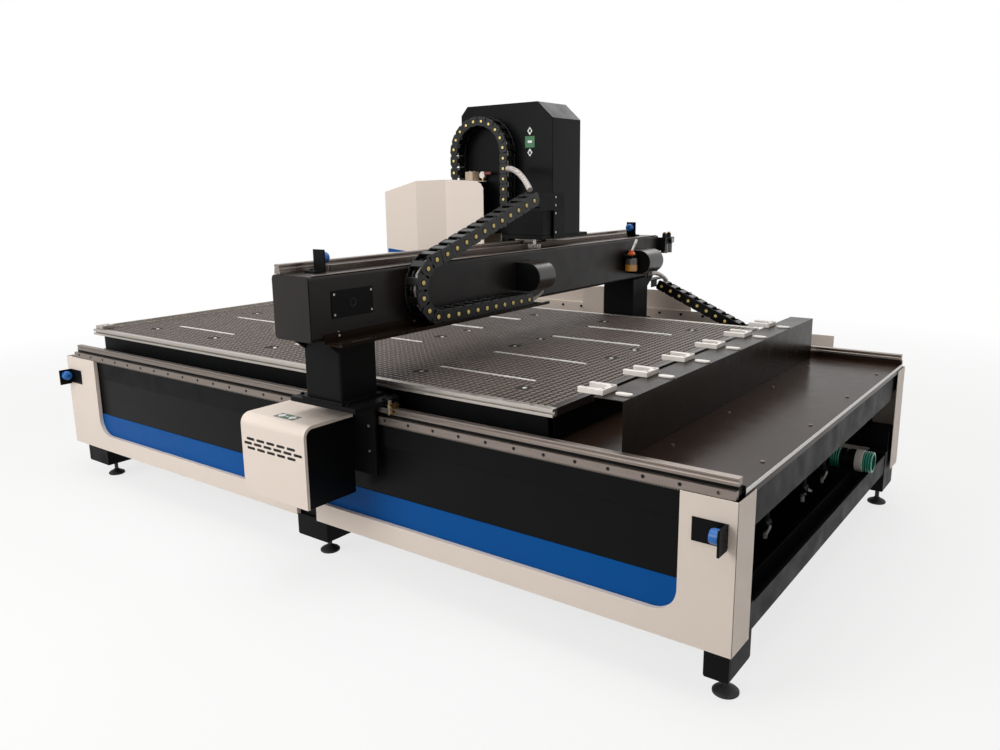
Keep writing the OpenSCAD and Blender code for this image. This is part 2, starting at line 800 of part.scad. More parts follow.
// Filter, regulator and gauge on the end of the beam.
module air_unit() {
    x = -beam_half_l - 0.3;
    color("#2C2F31") place() {
        block([x - 4, 380, 1210], [x, 506, 1290]);
        block([-1536, 454, 1257], [x - 4, 506, 1292]);
        for (i = [-1450, -1510]) {
            translate([i, 480, 1195]) cylinder(h = 62, r = 22);
            translate([i, 480, 1292]) cylinder(h = 24, r = 14);
        }
        rod_y(506, 522, -1480, 1274, 17);
    }
}

// The buffers point to the middle of the beam.
module x_bumpers() {
    color(black_c) place() both_sides() translate([1248, 350, beam_top + 0.3]) rotate([0, 0, -90]) {
        buffer(22, 35, 60, 85);
        block([-30, 7, 0], [30, 56, 8]);
    }
}

module x_chain_plane() { translate([0, chain_y, 0]) children(); }

module x_chain_lower() {
    color(chain_c) place() x_chain_plane()
        link_run([x_fixed - 34, x_low_z], [x_bend, x_low_z], 10, chain_pitch * 0.98, link_h, chain_w);
}

module x_chain_bend() {
    color(chain_c) place() x_chain_plane()
        link_bend([x_bend, x_low_z + bend_r], bend_r, 6, chain_pitch * 0.94, link_h, chain_w);
}

// ---- cross carriage ------------------------------------------------------------------------

module x_chain_upper() {
    color(chain_c) place() x_chain_plane()
        link_run([x_bend - 4, x_low_z + 2 * bend_r + 4], [66, 1558], 11, chain_pitch * 0.99, link_h, chain_w);
}

// Front plate, tower column, arm over the beam and the strap that holds the cable chain.
module x_carriage() {
    half = 170;
    color(black_c) place() difference() {
        union() {
            block([head_x - half, column_front, 1040], [head_x + half, 213, arm_z + arm_t]);
            block([head_x - 115, column_front, arm_z], [head_x + 115, 213, 1860]);
            block([arm_in, 205, arm_z], [arm_out, tower_rear - 4, arm_z + arm_t]);
            for (s = SIDES)
                block([head_x + s * 100 - 8, 212, arm_z + arm_t - 1], [head_x + s * 100 + 8, 330, 1560]);
            block([head_x - 115, 100, 1848], [head_x + 115, column_front + 1, 1860]);
            block([head_x - 60, 142.6, 1040], [head_x + 60, column_front + 1, 1050]);
            block([-300, tower_rear - 5, arm_z], [-198, tower_rear + 2, arm_z + arm_t]);
            block([-300, tower_rear + 1.5, arm_z], [-198, tower_rear + 7, 1580]);
            block([-199, tower_rear + 1.5, 1495], [46, tower_rear + 7, 1580]);
            block([-6, tower_rear + 6, 1512], [46, 550, 1518]);
        }
        translate([head_x, screw_y, 1840]) cylinder(h = 30, r = 20);
        translate([pinion_x, pinion_x_y, arm_z - 1]) cylinder(h = 30, r = 13);
    }
}

module x_slider_blocks() {
    color(steel_c) place() for (x = [head_x - 150, head_x + 50]) {
        difference() {
            block([x, 242, 1320], [x + 100, 302, arm_z - 0.2]);
            block([x - 1, 257.5, 1300], [x + 101, 286.5, beam_top + 10.5 + rail_h]);
        }
        difference() {
            block([x, 213.2, 1066], [x + 100, 247, 1126]);
            block([x - 1, beam_front - rail_h - 0.5, 1081.5], [x + 101, 260, 1110.5]);
        }
    }
}

// Sheet box over the cross motor, beside the tower.
module x_motor_box() {
    x0 = head_x + tower_half_w + 0.8;
    z0 = arm_z + arm_t + 0.3;
    color(black_c) place() difference() {
        block([x0, 246, z0], [arm_out, 456, 1500]);
        block([x0 + sheet, 246 + sheet, z0 - 1], [arm_out - sheet, 456 - sheet, 1500 - sheet]);
    }
}

// A motor on its flange, pointing up, with a bore for the shaft from below.
module motor_up(flange_w, flange_l, neck_r, neck_h, body_w, body_h) {
    difference() {
        union() {
            linear_extrude(8) round_rect(flange_w, flange_l, 8);
            cylinder(h = neck_h + 1, r = neck_r);
            translate([0, 0, neck_h]) linear_extrude(body_h) round_rect(body_w, 86, 8);
        }
        translate([0, 0, -1]) cylinder(h = 40, r = 10.05);
    }
}

module axis_motors() {
    color("#3A3D40") place() {
        translate([pinion_x, pinion_x_y, arm_z + arm_t + 0.2]) motor_up(70, 100, 34, 48, 70, 70);
        translate([head_x, screw_y, 1860.3]) motor_up(120, 110, 42, 20, 86, 128);
    }
}

module x_pinion() {
    color(steel_c) place() translate([pinion_x, pinion_x_y, beam_top + 1.5]) {
        linear_extrude(18) rotate([0, 0, -90]) pinion_2d(gear_m, gear_n);
        translate([0, 0, 17]) cylinder(h = arm_z + arm_t + 26 - beam_top - 18, r = 10);
    }
}

// Outline of the tower from the side, [along, up].
module tower_2d(t) {
    f = tower_front + t;
    r = tower_rear - t;
    h = tower_top - t;
    k = t * 0.4;
    low = arm_z + arm_t + 0.4;
    polygon([[f, low - t * 9], [f, h - 45 + k], [f + 42 - k, h], [r - 90 + k, h], [r, h - 82 + k], [r, low - t * 9]]);
}

// Tall sheet cover over the tower: open below, and open in front where the head slides.
module z_cover() {
    color(black_c) place() difference() {
        translate([head_x - tower_half_w, 0, 0]) rotate([90, 0, 90])
            linear_extrude(2 * tower_half_w) tower_2d(0);
        translate([head_x - tower_half_w + sheet, 0, 0]) rotate([90, 0, 90])
            linear_extrude(2 * (tower_half_w - sheet)) tower_2d(sheet);
        block([head_x - tower_half_w + sheet, tower_front - 1, 1300],
            [head_x + tower_half_w - sheet, tower_front + sheet + 1, 1500]);
    }
}

module z_rails() {
    color(steel_c) place() for (s = SIDES)
        block([head_x + s * 75 - 12.5, column_front - 24, 1062], [head_x + s * 75 + 12.5, column_front - 0.2, 1846]);
}

module z_screw() {
    color(steel_c) place() translate([head_x, screw_y, 0]) {
        translate([0, 0, 1054]) cylinder(h = 790, r = 12.5);
        translate([0, 0, 1843]) cylinder(h = 50, r = 10);
    }
}

// ---- Z chain: it runs in a plane of constant X, with along = Z and bulge up -----------------

module z_chain_plane() { translate([z_chain_x, z_bend_y, z_bend_z]) rotate([0, -90, 90]) children(); }

module z_chain_bend() {
    color(chain_c) place() z_chain_plane()
        link_bend([0, 0], z_bend_r, 10, z_pitch * 0.97, z_link_h, z_chain_w);
}

module z_chain_fixed() {
    color(chain_c) place() z_chain_plane()
        link_run([-2, -z_bend_r], [-359, -z_bend_r], 7, z_pitch, z_link_h, z_chain_w);
}

// ---- head ----------------------------------------------------------------------------------

module z_chain_moving() {
    color(chain_c) place() z_chain_plane()
        link_run([-2, z_bend_r], [-124, z_bend_r], 2, z_pitch * 1.1, z_link_h, z_chain_w);
}

module z_slide() {
    color(black_c) place() {
        block([head_x - 105, 121, 1152], [head_x + 105, 142, 1566]);
        for (s = SIDES, z = [1250, 1460]) difference() {
            block([head_x + s * 75 - 24, 141, z], [head_x + s * 75 + 24, 176, z + 90]);
            block([head_x + s * 75 - 13, column_front - 24.5, z - 1], [head_x + s * 75 + 13, 190, z + 91]);
        }
        difference() {
            block([head_x - 24, 141, 1390], [head_x + 24, 187, 1438]);
            translate([head_x, screw_y, 1380]) cylinder(h = 70, r = 12.55);
        }
    }
}

// Outline of the hood from above about the head's middle, shrunk by t.
module hood_plan(t) {
    w1 = 227 - t;
    w2 = 307 - t;
    w3 = 205 - t * 0.6;
    front = -590 + t;
    back = 95 + t * 3;
    polygon([[w1, back], [w1, -160], [w2, -300], [w2, -532], [w3, front],
        [-w3, front], [-w2, -532], [-w2, -300], [-w1, -160], [-w1, back]]);
}

// Outline of the hood from the side: the top slopes down to the front.
module hood_side(t) {
    low = hood_z0 - t * 9;
    top = hood_z1 - t;
    polygon([[-600, low], [200, low], [200, top - 150], [98, top - 54], [80, top - 26],
        [48, top - 10], [-160, top], [-300, top - 5], [-600, top - 78]]);
}

module hood_solid(t) {
    intersection() {
        translate([head_x, 0, hood_z0 - 20]) linear_extrude(500) hood_plan(t);
        translate([head_x - 400, 0, 0]) rotate([90, 0, 90]) linear_extrude(800) hood_side(t);
    }
}

// White shell in front of the head, cut out round the tower, with two ties to the spindle.
module hood() {
    side = tower_half_w + 8;
    color(cover_c) place() {
        difference() {
            hood_solid(0);
            hood_solid(sheet);
            block([head_x - side, tower_front - 12, 1500], [head_x + side, 200, 1700]);
        }
        for (s = SIDES) block([head_x + min(s * 75.3, s * 224.5), 20, 1236], [head_x + max(s * 75.3, s * 224.5), 40, 1242]);
    }
}

module spindle_body() {
    color("#8A8E91") place() translate([head_x, spindle_y, 0]) difference() {
        union() {
            translate([0, 0, 1179]) linear_extrude(330) round_rect(150, 150, 14);
            translate([0, 0, 1164]) cylinder(h = 16, r = 50);
            block([-80, 74, 1200], [80, 90.8, 1440]);
        }
        translate([0, 0, 1163]) cylinder(h = 317, r = 25.06);
    }
}

// Shaft, nose and collet: the collet's bore takes the tool shank.
module spindle_rotor() {
    color(steel_c) place() translate([head_x, spindle_y, 0]) difference() {
        union() {
            translate([0, 0, 1150]) cylinder(h = 320, r = 25);
            translate([0, 0, 1148]) cylinder(h = 12, r = 40);
            translate([0, 0, 1140]) cylinder(h = 9, r = 25);
            translate([0, 0, 1130]) cylinder(h = 11, r = 21);
        }
        translate([0, 0, 1129]) cylinder(h = 44, r = collet_r);
    }
}

// Height of the hood's flat top over a place along Y.
function hood_top(y) = hood_z1 - 10 * (y + 160) / 208;

// Gland block, gauge and elbow on top of the hood.
module head_air_fittings() {
    z = hood_z1 - 2;
    color("#B9AD9C") place() {
        translate([-187, 0, 0]) rotate([90, 0, 90]) linear_extrude(60)
            polygon([[-45, hood_top(-45) + 0.3], [5, hood_top(5) + 0.3], [5, z + 40], [-45, z + 40]]);
        translate([-174, 38, hood_top(31) + 0.3]) cylinder(h = 18, r = 7);
        rod_x(-184, -164, 38, z + 22, 18);
        rod_y(57, 100, -165, z + 30, 9);
    }
}

// ---- hoses ---------------------------------------------------------------------------------

// A round hose on an arc in an upright plane: turned by heading, from one slope angle through sweep.
module hose_arc(centre, heading, from, sweep, bend, r) {
    translate(centre) rotate([0, 0, heading]) rotate([90, 0, 0]) rotate([0, 0, from])
        rotate_extrude(angle = sweep) translate([bend, 0]) circle(r);
}

// Braided hoses from the drums into the ends of the two long chains.
module beam_hoses() {
    color("#D8D2C8") place() {
        hose_arc([106, 520, x_low_z - 8 + 240], 0, 240.5, 29.5, 240, 10);
        hose_arc([-1195, 515, 412], 187, 63.7, 26.3, 678, 13);
    }
}

// Braided hose from the tower over to the upper end of the X chain.
module carriage_hose() {
    color("#D8D2C8") place() hose_arc([-90, 262, 1702 - 489], 56.1, 52, 38, 489, 14);
}

levelling_feet();
legs();
side_beams();
cross_beams();
side_panels();
side_covers();
blue_panels();
table_bearers();
vacuum_board();
table_trims();
t_slot_rails();
rear_tray();
rear_apron();
tool_forks();
y_rails();
y_racks();
bed_bumpers();
vacuum_manifold();
vacuum_hose();
chain_trough();
y_chain_lower();
gantry_legs();
y_slider_blocks();
drive_covers();
drive_end_caps();
y_motors();
beam();
access_plate();
x_rails();
x_rack();
rear_shelf();
cable_drums();
lubricator_pump();
air_unit();
x_bumpers();
x_chain_lower();
y_chain_upper();
y_chain_bend();
y_pinions();
x_chain_bend();
lubricator_lever();
x_carriage();
x_slider_blocks();
x_motor_box();
axis_motors();
x_pinion();
z_cover();
z_rails();
z_screw();
x_chain_upper();
z_chain_fixed();
z_chain_bend();
z_slide();
hood();
spindle_body();
z_chain_moving();
head_air_fittings();
spindle_rotor();
beam_hoses();
carriage_hose();
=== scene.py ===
"""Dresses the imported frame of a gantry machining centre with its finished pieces."""
from math import atan2, cos, degrees, pi, radians, sin

import bmesh
import bpy
from bpy.props import FloatProperty, FloatVectorProperty, PointerProperty
from mathutils import Matrix, Vector


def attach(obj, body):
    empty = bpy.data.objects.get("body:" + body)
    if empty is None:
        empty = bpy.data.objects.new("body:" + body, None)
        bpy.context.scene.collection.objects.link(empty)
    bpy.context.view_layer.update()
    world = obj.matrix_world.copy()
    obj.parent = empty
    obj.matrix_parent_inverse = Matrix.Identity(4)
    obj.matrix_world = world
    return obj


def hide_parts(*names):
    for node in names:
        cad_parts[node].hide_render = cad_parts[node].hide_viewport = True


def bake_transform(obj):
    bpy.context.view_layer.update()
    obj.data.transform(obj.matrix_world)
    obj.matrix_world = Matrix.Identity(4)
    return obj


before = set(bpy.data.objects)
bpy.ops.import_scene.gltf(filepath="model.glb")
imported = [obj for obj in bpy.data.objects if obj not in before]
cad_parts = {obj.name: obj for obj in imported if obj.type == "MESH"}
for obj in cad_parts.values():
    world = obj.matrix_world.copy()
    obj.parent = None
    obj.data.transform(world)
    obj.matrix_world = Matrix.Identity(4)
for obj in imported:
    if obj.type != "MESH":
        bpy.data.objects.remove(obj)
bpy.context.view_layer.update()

bl_info = {
    "name": "Gantry machining centre",
    "version": (1, 0, 0),
    "blender": (4, 5, 0),
    "location": "View3D > Sidebar > Machine",
    "description": "Builds the pieces of a moving-gantry machining centre around its frame",
    "category": "Object",
}

MM = 0.001
BED_X = 106.0          # the bed's middle, in mm from the frame's origin
SIDES = (-1, 1)

# Planes that several pieces share, in mm about the bed's middle.
BED_END = 1976
COVER_LOW, COVER_TOP, COVER_FACE = 195, 702, 1131
WINDOW_LOW, WINDOW_ROUND = 283, 90
SHEET = 3                                   # thickness of the folded sheet metal
TABLE_X, TABLE_Y0, TABLE_Y1 = 994, -1822, 1226
TABLE_LOW, BOARD_TOP = 820.2, 850
TRAY_X, TRAY_TOP = 1071, 719
BEAM_Y0, BEAM_Y1, BEAM_Z0, BEAM_Z1 = 255, 461, 1063, 1306
BEAM_END = 1404
OFF_BEAM = 461.3                            # just off the rear face of the beam


# ---- values --------------------------------------------------------------------------------

def linear(code):
    """An sRGB hex colour as linear numbers."""
    parts = [int(code[i:i + 2], 16) / 255 for i in (1, 3, 5)]
    return tuple(c / 12.92 if c <= 0.04045 else ((c + 0.055) / 1.055) ** 2.4 for c in parts)


def colour(code, name, text):
    """A colour that a user may change."""
    return FloatVectorProperty(name=name, description=text, subtype="COLOR", size=3, min=0, max=1,
                               default=linear(code))


def length(mm, name, text):
    """A size that a user may change, given in mm."""
    return FloatProperty(name=name, description=text, unit="LENGTH", min=0, default=mm * MM)


class MachineColours(bpy.types.PropertyGroup):
    cream: colour("#EBDDD1", "Cream enamel", "Side covers, drive covers and hood")
    black: colour("#0C0D0D", "Black powder coat", "Frame, gantry and tower")
    blue: colour("#03529B", "Blue enamel", "Long panels under the side windows")
    board: colour("#6A5F58", "Table board", "Grooved vacuum board")
    steel: colour("#857B74", "Ground steel", "Rails, racks and screws")
    aluminium: colour("#B3ADA6", "Anodised aluminium", "Table trims and T-slots")
    chain: colour("#09090A", "Chain nylon", "Cable chains")
    pin: colour("#FFDD86", "Chain pins", "Pivot caps of the cable chains")
    white_nylon: colour("#EDE7E0", "White nylon", "Tool forks and pump lever")
    buffer: colour("#1767B5", "Buffer rubber", "Round end buffers")
    sign: colour("#2C6B3F", "Sign plate", "Plates with arrows")
    hose: colour("#1F8F77", "Suction hose", "Spiral suction hose")


class MachineSizes(bpy.types.PropertyGroup):
    pad_pitch: length(30.0, "Pad pitch", "Distance between the grooves of the table")
    groove: length(9.0, "Groove width", "Width of the grooves of the table")


# ---- modelling -----------------------------------------------------------------------------

def at(x, y, z):
    """A point given in mm about the bed's middle."""
    return Vector(((x + BED_X) * MM, y * MM, z * MM))


def clear():
    """Out of edit mode, with nothing selected."""
    if bpy.context.object and bpy.context.object.mode != "OBJECT":
        bpy.ops.object.mode_set(mode="OBJECT")
    bpy.ops.object.select_all(action="DESELECT")


def only(obj):
    """Makes one object the only one selected, and active."""
    clear()
    obj.select_set(True)
    bpy.context.view_layer.objects.active = obj


def edit():
    """Into edit mode, with everything selected."""
    bpy.ops.object.mode_set(mode="EDIT")
    bpy.ops.mesh.select_all(action="SELECT")


def done():
    """Out of edit mode, with the object that was edited."""
    bpy.ops.object.mode_set(mode="OBJECT")
    return bpy.context.object


def settle(obj):
    """Puts the place of an object into its mesh."""
    only(obj)
    bpy.ops.object.transform_apply(location=True, rotation=True, scale=True)
    return obj


def bevel(obj, width, steps=2, angle=40):
    """Rounds the edges sharper than the angle, in mm."""
    if not width:
        return obj
    only(obj)
    mod = obj.modifiers.new("edge", "BEVEL")
    mod.width = width * MM
    mod.segments = steps
    mod.limit_method = "ANGLE"
    mod.angle_limit = radians(angle)
    mod.miter_outer = "MITER_ARC"
    mod.harden_normals = False
    bpy.ops.object.modifier_apply(modifier=mod.name)
    return obj


def block(low, high, width=1.5, steps=2):
    """A box between two corners, in mm, with rounded edges."""
    clear()
    centre = at(*[(a + b) / 2 for a, b in zip(low, high)])
    size = [abs(b - a) * MM for a, b in zip(low, high)]
    bpy.ops.mesh.primitive_cube_add(size=1, location=centre, scale=size)
    return bevel(settle(bpy.context.object), width, steps)


def rod(a, b, r, width=0.8, count=24):
    """A cylinder between two points, in mm."""
    clear()
    a, b = at(*a), at(*b)
    along = b - a
    turn = along.to_track_quat("Z", "Y").to_euler()
    bpy.ops.mesh.primitive_cylinder_add(vertices=count, radius=r * MM, depth=along.length,
                                        location=(a + b) / 2, rotation=turn)
    return bevel(settle(bpy.context.object), width, 2, 60)


def arc(u, v, r, start, sweep, count):
    """Points on an arc about (u, v) in a flat outline, its angles in degrees."""
    turns = [radians(start + sweep * i / count) for i in range(count + 1)]
    return [(u + r * cos(a), v + r * sin(a)) for a in turns]


def rounded(u0, u1, v0, v1, r, steps=6):
    """A rectangle's outline with round corners."""
    corners = ((u1 - r, v1 - r), (u0 + r, v1 - r), (u0 + r, v0 + r), (u1 - r, v0 + r))
    points = []
    for i, (u, v) in enumerate(corners):
        points += arc(u, v, r, 90 * i, 90, steps)
    return points


# For each axis, which coordinates an outline across it gives, and the one along it.
SPAN = {"X": (1, 2, 0), "Y": (0, 2, 1), "Z": (0, 1, 2)}


def plate(outline, axis, low, high, width=1.2, steps=2):
    """A flat outline across an axis, made thick from low to high, in mm."""
    clear()
    u, v, w = SPAN[axis]
    bpy.ops.mesh.primitive_circle_add(vertices=len(outline), fill_type="NGON")
    obj = bpy.context.object
    for vert, point in zip(obj.data.vertices, outline):
        place = [0, 0, 0]
        place[u], place[v], place[w] = point[0], point[1], low
        vert.co = at(*place)
    edit()
    move = [0, 0, 0]
    move[w] = (high - low) * MM
    bpy.ops.mesh.extrude_region_move(TRANSFORM_OT_translate={"value": move})
    bpy.ops.mesh.select_all(action="SELECT")
    bpy.ops.mesh.normals_make_consistent(inside=False)
    return bevel(done(), width, steps)


def lathe(profile, foot, axis="Z", steps=40, flip=1):
    """A profile of (radius, height) in mm, turned round an axis that stands on foot."""
    clear()
    bpy.ops.mesh.primitive_circle_add(vertices=len(profile), fill_type="NOTHING")
    obj = bpy.context.object
    for vert, (r, h) in zip(obj.data.vertices, profile):
        vert.co = (r * MM, 0, h * MM)
    edit()
    bpy.ops.mesh.select_all(action="DESELECT")
    bpy.ops.mesh.select_mode(type="EDGE")
    done()
    # The edge from the last point back to the first isn't part of the profile.
    for edge in obj.data.edges:
        edge.select = set(edge.vertices) == {0, len(profile) - 1}
    bpy.ops.object.mode_set(mode="EDIT")
    bpy.ops.mesh.delete(type="EDGE_FACE")
    bpy.ops.mesh.select_mode(type="VERT")
    bpy.ops.mesh.select_all(action="SELECT")
    bpy.ops.mesh.spin(steps=steps, angle=2 * pi, center=(0, 0, 0), axis=(0, 0, 1))
    bpy.ops.mesh.select_all(action="SELECT")
    bpy.ops.mesh.remove_doubles(threshold=0.00002)
    bpy.ops.mesh.normals_make_consistent(inside=False)
    done()
    turn = {"Z": Matrix(),
            "X": Matrix.Rotation(pi / 2, 4, "Y"),
            "Y": Matrix.Rotation(-pi / 2, 4, "X")}[axis]
    if flip < 0:
        turn = Matrix.Rotation(pi, 4, "X" if axis != "X" else "Y") @ turn
    obj.data.transform(Matrix.Translation(at(*foot)) @ turn)
    return obj


def copied(obj, matrix):
    """A copy with a mesh of its own, moved by the matrix."""
    new = obj.copy()
    new.data = obj.data.copy()
    new.data.transform(matrix)
    if matrix.determinant() < 0:
        new.data.flip_normals()
    bpy.context.scene.collection.objects.link(new)
    return new


def shifted(obj, by):
    """A copy moved by a vector in mm."""
    return copied(obj, Matrix.Translation(by * MM))


def softened(node, width=1.4, angle=40):
    """A copy of a CAD node, its facets merged and its edges rounded, in mm."""
    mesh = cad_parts[node].data.copy()
    obj = bpy.data.objects.new(node + "_soft", mesh)
    bpy.context.scene.collection.objects.link(obj)
    only(obj)
    bpy.ops.mesh.customdata_custom_splitnormals_clear()
    edit()
    bpy.ops.mesh.remove_doubles(threshold=0.00001)
    bpy.ops.mesh.dissolve_limited(angle_limit=radians(1))
    done()
    return bevel(obj, width, 2, angle)


def cut_away(obj, low, high):
    """Takes a box between two corners, in mm, out of a piece."""
    tool = block(low, high, 0)
    only(obj)
    mod = obj.modifiers.new("cut", "BOOLEAN")
    mod.object = tool
    mod.solver = "EXACT"
    bpy.ops.object.modifier_apply(modifier=mod.name)
    bpy.data.objects.remove(tool)
    return obj


def mirrored(obj, axis="X"):
    """A copy on the other side of the bed's middle."""
    if axis == "X":
        flip = Matrix.Diagonal((-1, 1, 1, 1))
        flip.translation.x = 2 * BED_X * MM
    else:
        flip = Matrix.Diagonal((1, -1, 1, 1))
    return copied(obj, flip)


def both(parts, axis="X"):
    return parts + [mirrored(p, axis) for p in parts]


def join(parts):
    only(parts[0])
    for p in parts:
        p.select_set(True)
    if len(parts) > 1:
        bpy.ops.object.join()
    return bpy.context.object


def paint(parts, finish):
    """Gives each part one finish, by the finish's name."""
    for part in parts:
        part.data.materials.clear()
        part.data.materials.append(FINISHES[finish])
    return parts


def clothe(node, finish):
    """Gives a CAD node that stays in view its finish."""
    paint([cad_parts[node]], finish)


def piece(name, parts, body, node="", finish="", smooth=35):
    """Joins the parts into one named piece that rides on a body and may stand for a CAD node."""
    if finish:
        paint(parts, finish)
    obj = join(parts)
    obj.name = obj.data.name = name
    bpy.ops.object.shade_smooth_by_angle(angle=radians(smooth))
    # Large flat faces keep an even shade where a rounded edge meets them.
    if smooth > 20:
        level = obj.modifiers.new("level", "WEIGHTED_NORMAL")
        level.keep_sharp = True
        bpy.ops.object.modifier_apply(modifier=level.name)
    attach(obj, body)
    if node:
        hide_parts(node)


def soft_piece(name, node, body, finish):
    """One CAD node's own shape with rounded edges, as a piece."""
    piece(name, [softened(node)], body, node, finish)


def bolt(point, direction, r=6.5, tall=5.0):
    """A socket-head bolt that stands on a point, its head towards the direction."""
    clear()
    to = Vector(direction).normalized()
    place = at(*point) + to * (tall * MM / 2)
    bpy.ops.mesh.primitive_cylinder_add(vertices=14, radius=r * MM, depth=tall * MM, location=place,
                                        rotation=to.to_track_quat("Z", "Y").to_euler())
    obj = bpy.context.object
    top = [p for p in obj.data.polygons if len(p.vertices) > 4 and p.normal.z > 0.5][0].index
    edit()
    bpy.ops.mesh.select_all(action="DESELECT")
    done()
    obj.data.polygons[top].select = True
    bpy.ops.object.mode_set(mode="EDIT")
    bpy.ops.mesh.select_mode(type="FACE")
    bpy.ops.mesh.inset(thickness=r * 0.16 * MM, depth=0)
    bpy.ops.mesh.inset(thickness=r * 0.3 * MM, depth=0)
    bpy.ops.mesh.inset(thickness=0.0001 * MM, depth=-tall * 0.6 * MM)
    return settle(done())


def bolts(points, direction, r=6.5, tall=5.0):
    """The same bolt at every point."""
    first = bolt(points[0], direction, r, tall)
    start = Vector(points[0])
    return [first] + [shifted(first, Vector(p) - start) for p in points[1:]]


# ---- materials -----------------------------------------------------------------------------

FINISHES = {}


def wire(node, links):
    """Gives a node's sockets their values, or links from other nodes' outputs."""
    for key, value in links.items():
        if isinstance(value, bpy.types.NodeSocket):
            node.id_data.links.new(value, node.inputs[key])
        else:
            node.inputs[key].default_value = value


def add(tree, kind, links=None, **settings):
    """Adds a node with its settings and links."""
    node = tree.nodes.new(kind)
    for key, value in settings.items():
        setattr(node, key, value)
    wire(node, links or {})
    return node


def begin(name):
    """A new material with only a shader and its output."""
    mat = bpy.data.materials.new(name)
    mat.use_nodes = True
    tree = mat.node_tree
    tree.nodes.clear()
    shader = add(tree, "ShaderNodeBsdfPrincipled")
    add(tree, "ShaderNodeOutputMaterial", {0: shader.outputs[0]})
    FINISHES[name] = mat
    return tree, shader


def pattern(tree, size, detail, stretch=(1, 1, 1)):
    """Noise with features of a size in mm, longer along an axis with a stretch over 1."""
    place = add(tree, "ShaderNodeTexCoord").outputs["Object"]
    place = add(tree, "ShaderNodeMapping", {"Vector": place, "Scale": [1 / s for s in stretch]}).outputs[0]
    noise = {"Vector": place, "Scale": 1 / (size * MM), "Detail": detail}
    return add(tree, "ShaderNodeTexNoise", noise).outputs["Fac"]


def shade(rgb, factor):
    """A colour made darker or lighter by a factor, with its alpha."""
    return (*(min(1.0, c * factor) for c in rgb), 1)


MOST = (0.3, 0.7)      # most of a noise lies between these


def surface(name, rgb, tones, rough, sway, cloud, wear, skin, relief, span=(0, 1)):
    """A finish whose tone drifts, whose gloss varies and whose skin stands in relief.

    The patterns cloud, wear and skin drive the three. tones are the darkest and the lightest factor on
    the colour, sway is the share by which the roughness varies, and relief is a strength and a depth
    in mm."""
    tree, shader = begin(name)
    noise = {kind: pattern(tree, *kind) for kind in dict.fromkeys((cloud, wear, skin))}
    drift = {"Value": noise[cloud], "From Min": span[0], "From Max": span[1]}
    part = add(tree, "ShaderNodeMapRange", drift).outputs[0]
    dark, light = (shade(rgb, tone) for tone in tones)
    tone = add(tree, "ShaderNodeMix", {"Factor": part, "A": dark, "B": light}, data_type="RGBA")
    polish = {"Value": noise[wear], "From Min": MOST[0], "From Max": MOST[1],
              "To Min": rough * (1 - sway), "To Max": rough * (1 + sway)}
    bump = {"Height": noise[skin], "Strength": relief[0], "Distance": relief[1] * MM}
    wire(shader, {"Base Color": tone.outputs["Result"],
                  "Roughness": add(tree, "ShaderNodeMapRange", polish).outputs[0],
                  "Normal": add(tree, "ShaderNodeBump", bump).outputs[0]})
    return shader


def painted(name, rgb, rough, peel, lift, dust, gloss=0.5):
    """Paint baked on metal: the tone drifts over about 400 mm, the skin has an orange peel in mm."""
    shader = surface(name, rgb, (1 - dust, 1 + dust), rough, 0.16, (420, 4), (90, 3), (peel, 2), (lift, 0.6),
                     MOST)
    wire(shader, {"IOR": 1.5, "Specular IOR Level": gloss})
    return shader


def brushed(name, rgb, rough, along=(1, 30, 1), grain=2.2):
    """Ground metal: fine scratches along the way that it was ground, or an even grain."""
    lines = (grain, 2, along)
    shader = surface(name, rgb, (0.8, 1.15), rough, 0.25, lines, lines, lines, (0.12, 0.4))
    wire(shader, {"Metallic": 1})


def moulded(name, rgb, rough, grain=3.0, lift=0.12, drift=40, gloss=0.5):
    """Plastic, board or rubber: a fine grain in mm, and a tone that drifts over a larger size in mm."""
    cloud = (drift, 3)
    shader = surface(name, rgb, (0.82, 1.18), rough, 0.15, cloud, cloud, (grain, 2), (lift, 0.3))
    wire(shader, {"IOR": 1.5, "Specular IOR Level": gloss})


def braided(name):
    """Steel braid under a sheath: crossed strands, about 5 mm apart so that they show."""
    tree, shader = begin(name)
    place = add(tree, "ShaderNodeTexCoord").outputs["Object"]
    strands = []
    for turn in (0.7, -0.7):
        spun = add(tree, "ShaderNodeMapping", {"Vector": place, "Rotation": (turn, turn, turn)}).outputs[0]
        strands.append(add(tree, "ShaderNodeTexWave", {"Vector": spun, "Scale": 60.0, "Distortion": 0.6}))
    crests = {i: strand.outputs["Fac"] for i, strand in enumerate(strands)}
    height = add(tree, "ShaderNodeMath", crests, operation="MAXIMUM").outputs[0]
    tones = {"Factor": height, "A": (*linear("#6F6964"), 1), "B": (*linear("#DCD4CE"), 1)}
    bump = {"Height": height, "Strength": 0.5, "Distance": 0.001}
    wire(shader, {"Base Color": add(tree, "ShaderNodeMix", tones, data_type="RGBA").outputs["Result"],
                  "Normal": add(tree, "ShaderNodeBump", bump).outputs[0],
                  "Roughness": 0.35})


def clear_resin(name, rgb):
    """Blow-moulded bottle: coloured where the oil stands, smoky above it, with a hard gloss."""
    tree, shader = begin(name)
    place = add(tree, "ShaderNodeTexCoord").outputs["Object"]
    height = add(tree, "ShaderNodeSeparateXYZ", {0: place}).outputs[2]
    level = {"Value": height, "From Min": 1.158, "From Max": 1.166}
    above = add(tree, "ShaderNodeMapRange", level).outputs[0]
    tones = {"Factor": above, "A": (*rgb, 1), "B": (*linear("#4A443C"), 1)}
    wire(shader, {"Base Color": add(tree, "ShaderNodeMix", tones, data_type="RGBA").outputs["Result"],
                  "Roughness": 0.12, "Coat Weight": 0.6, "IOR": 1.47})


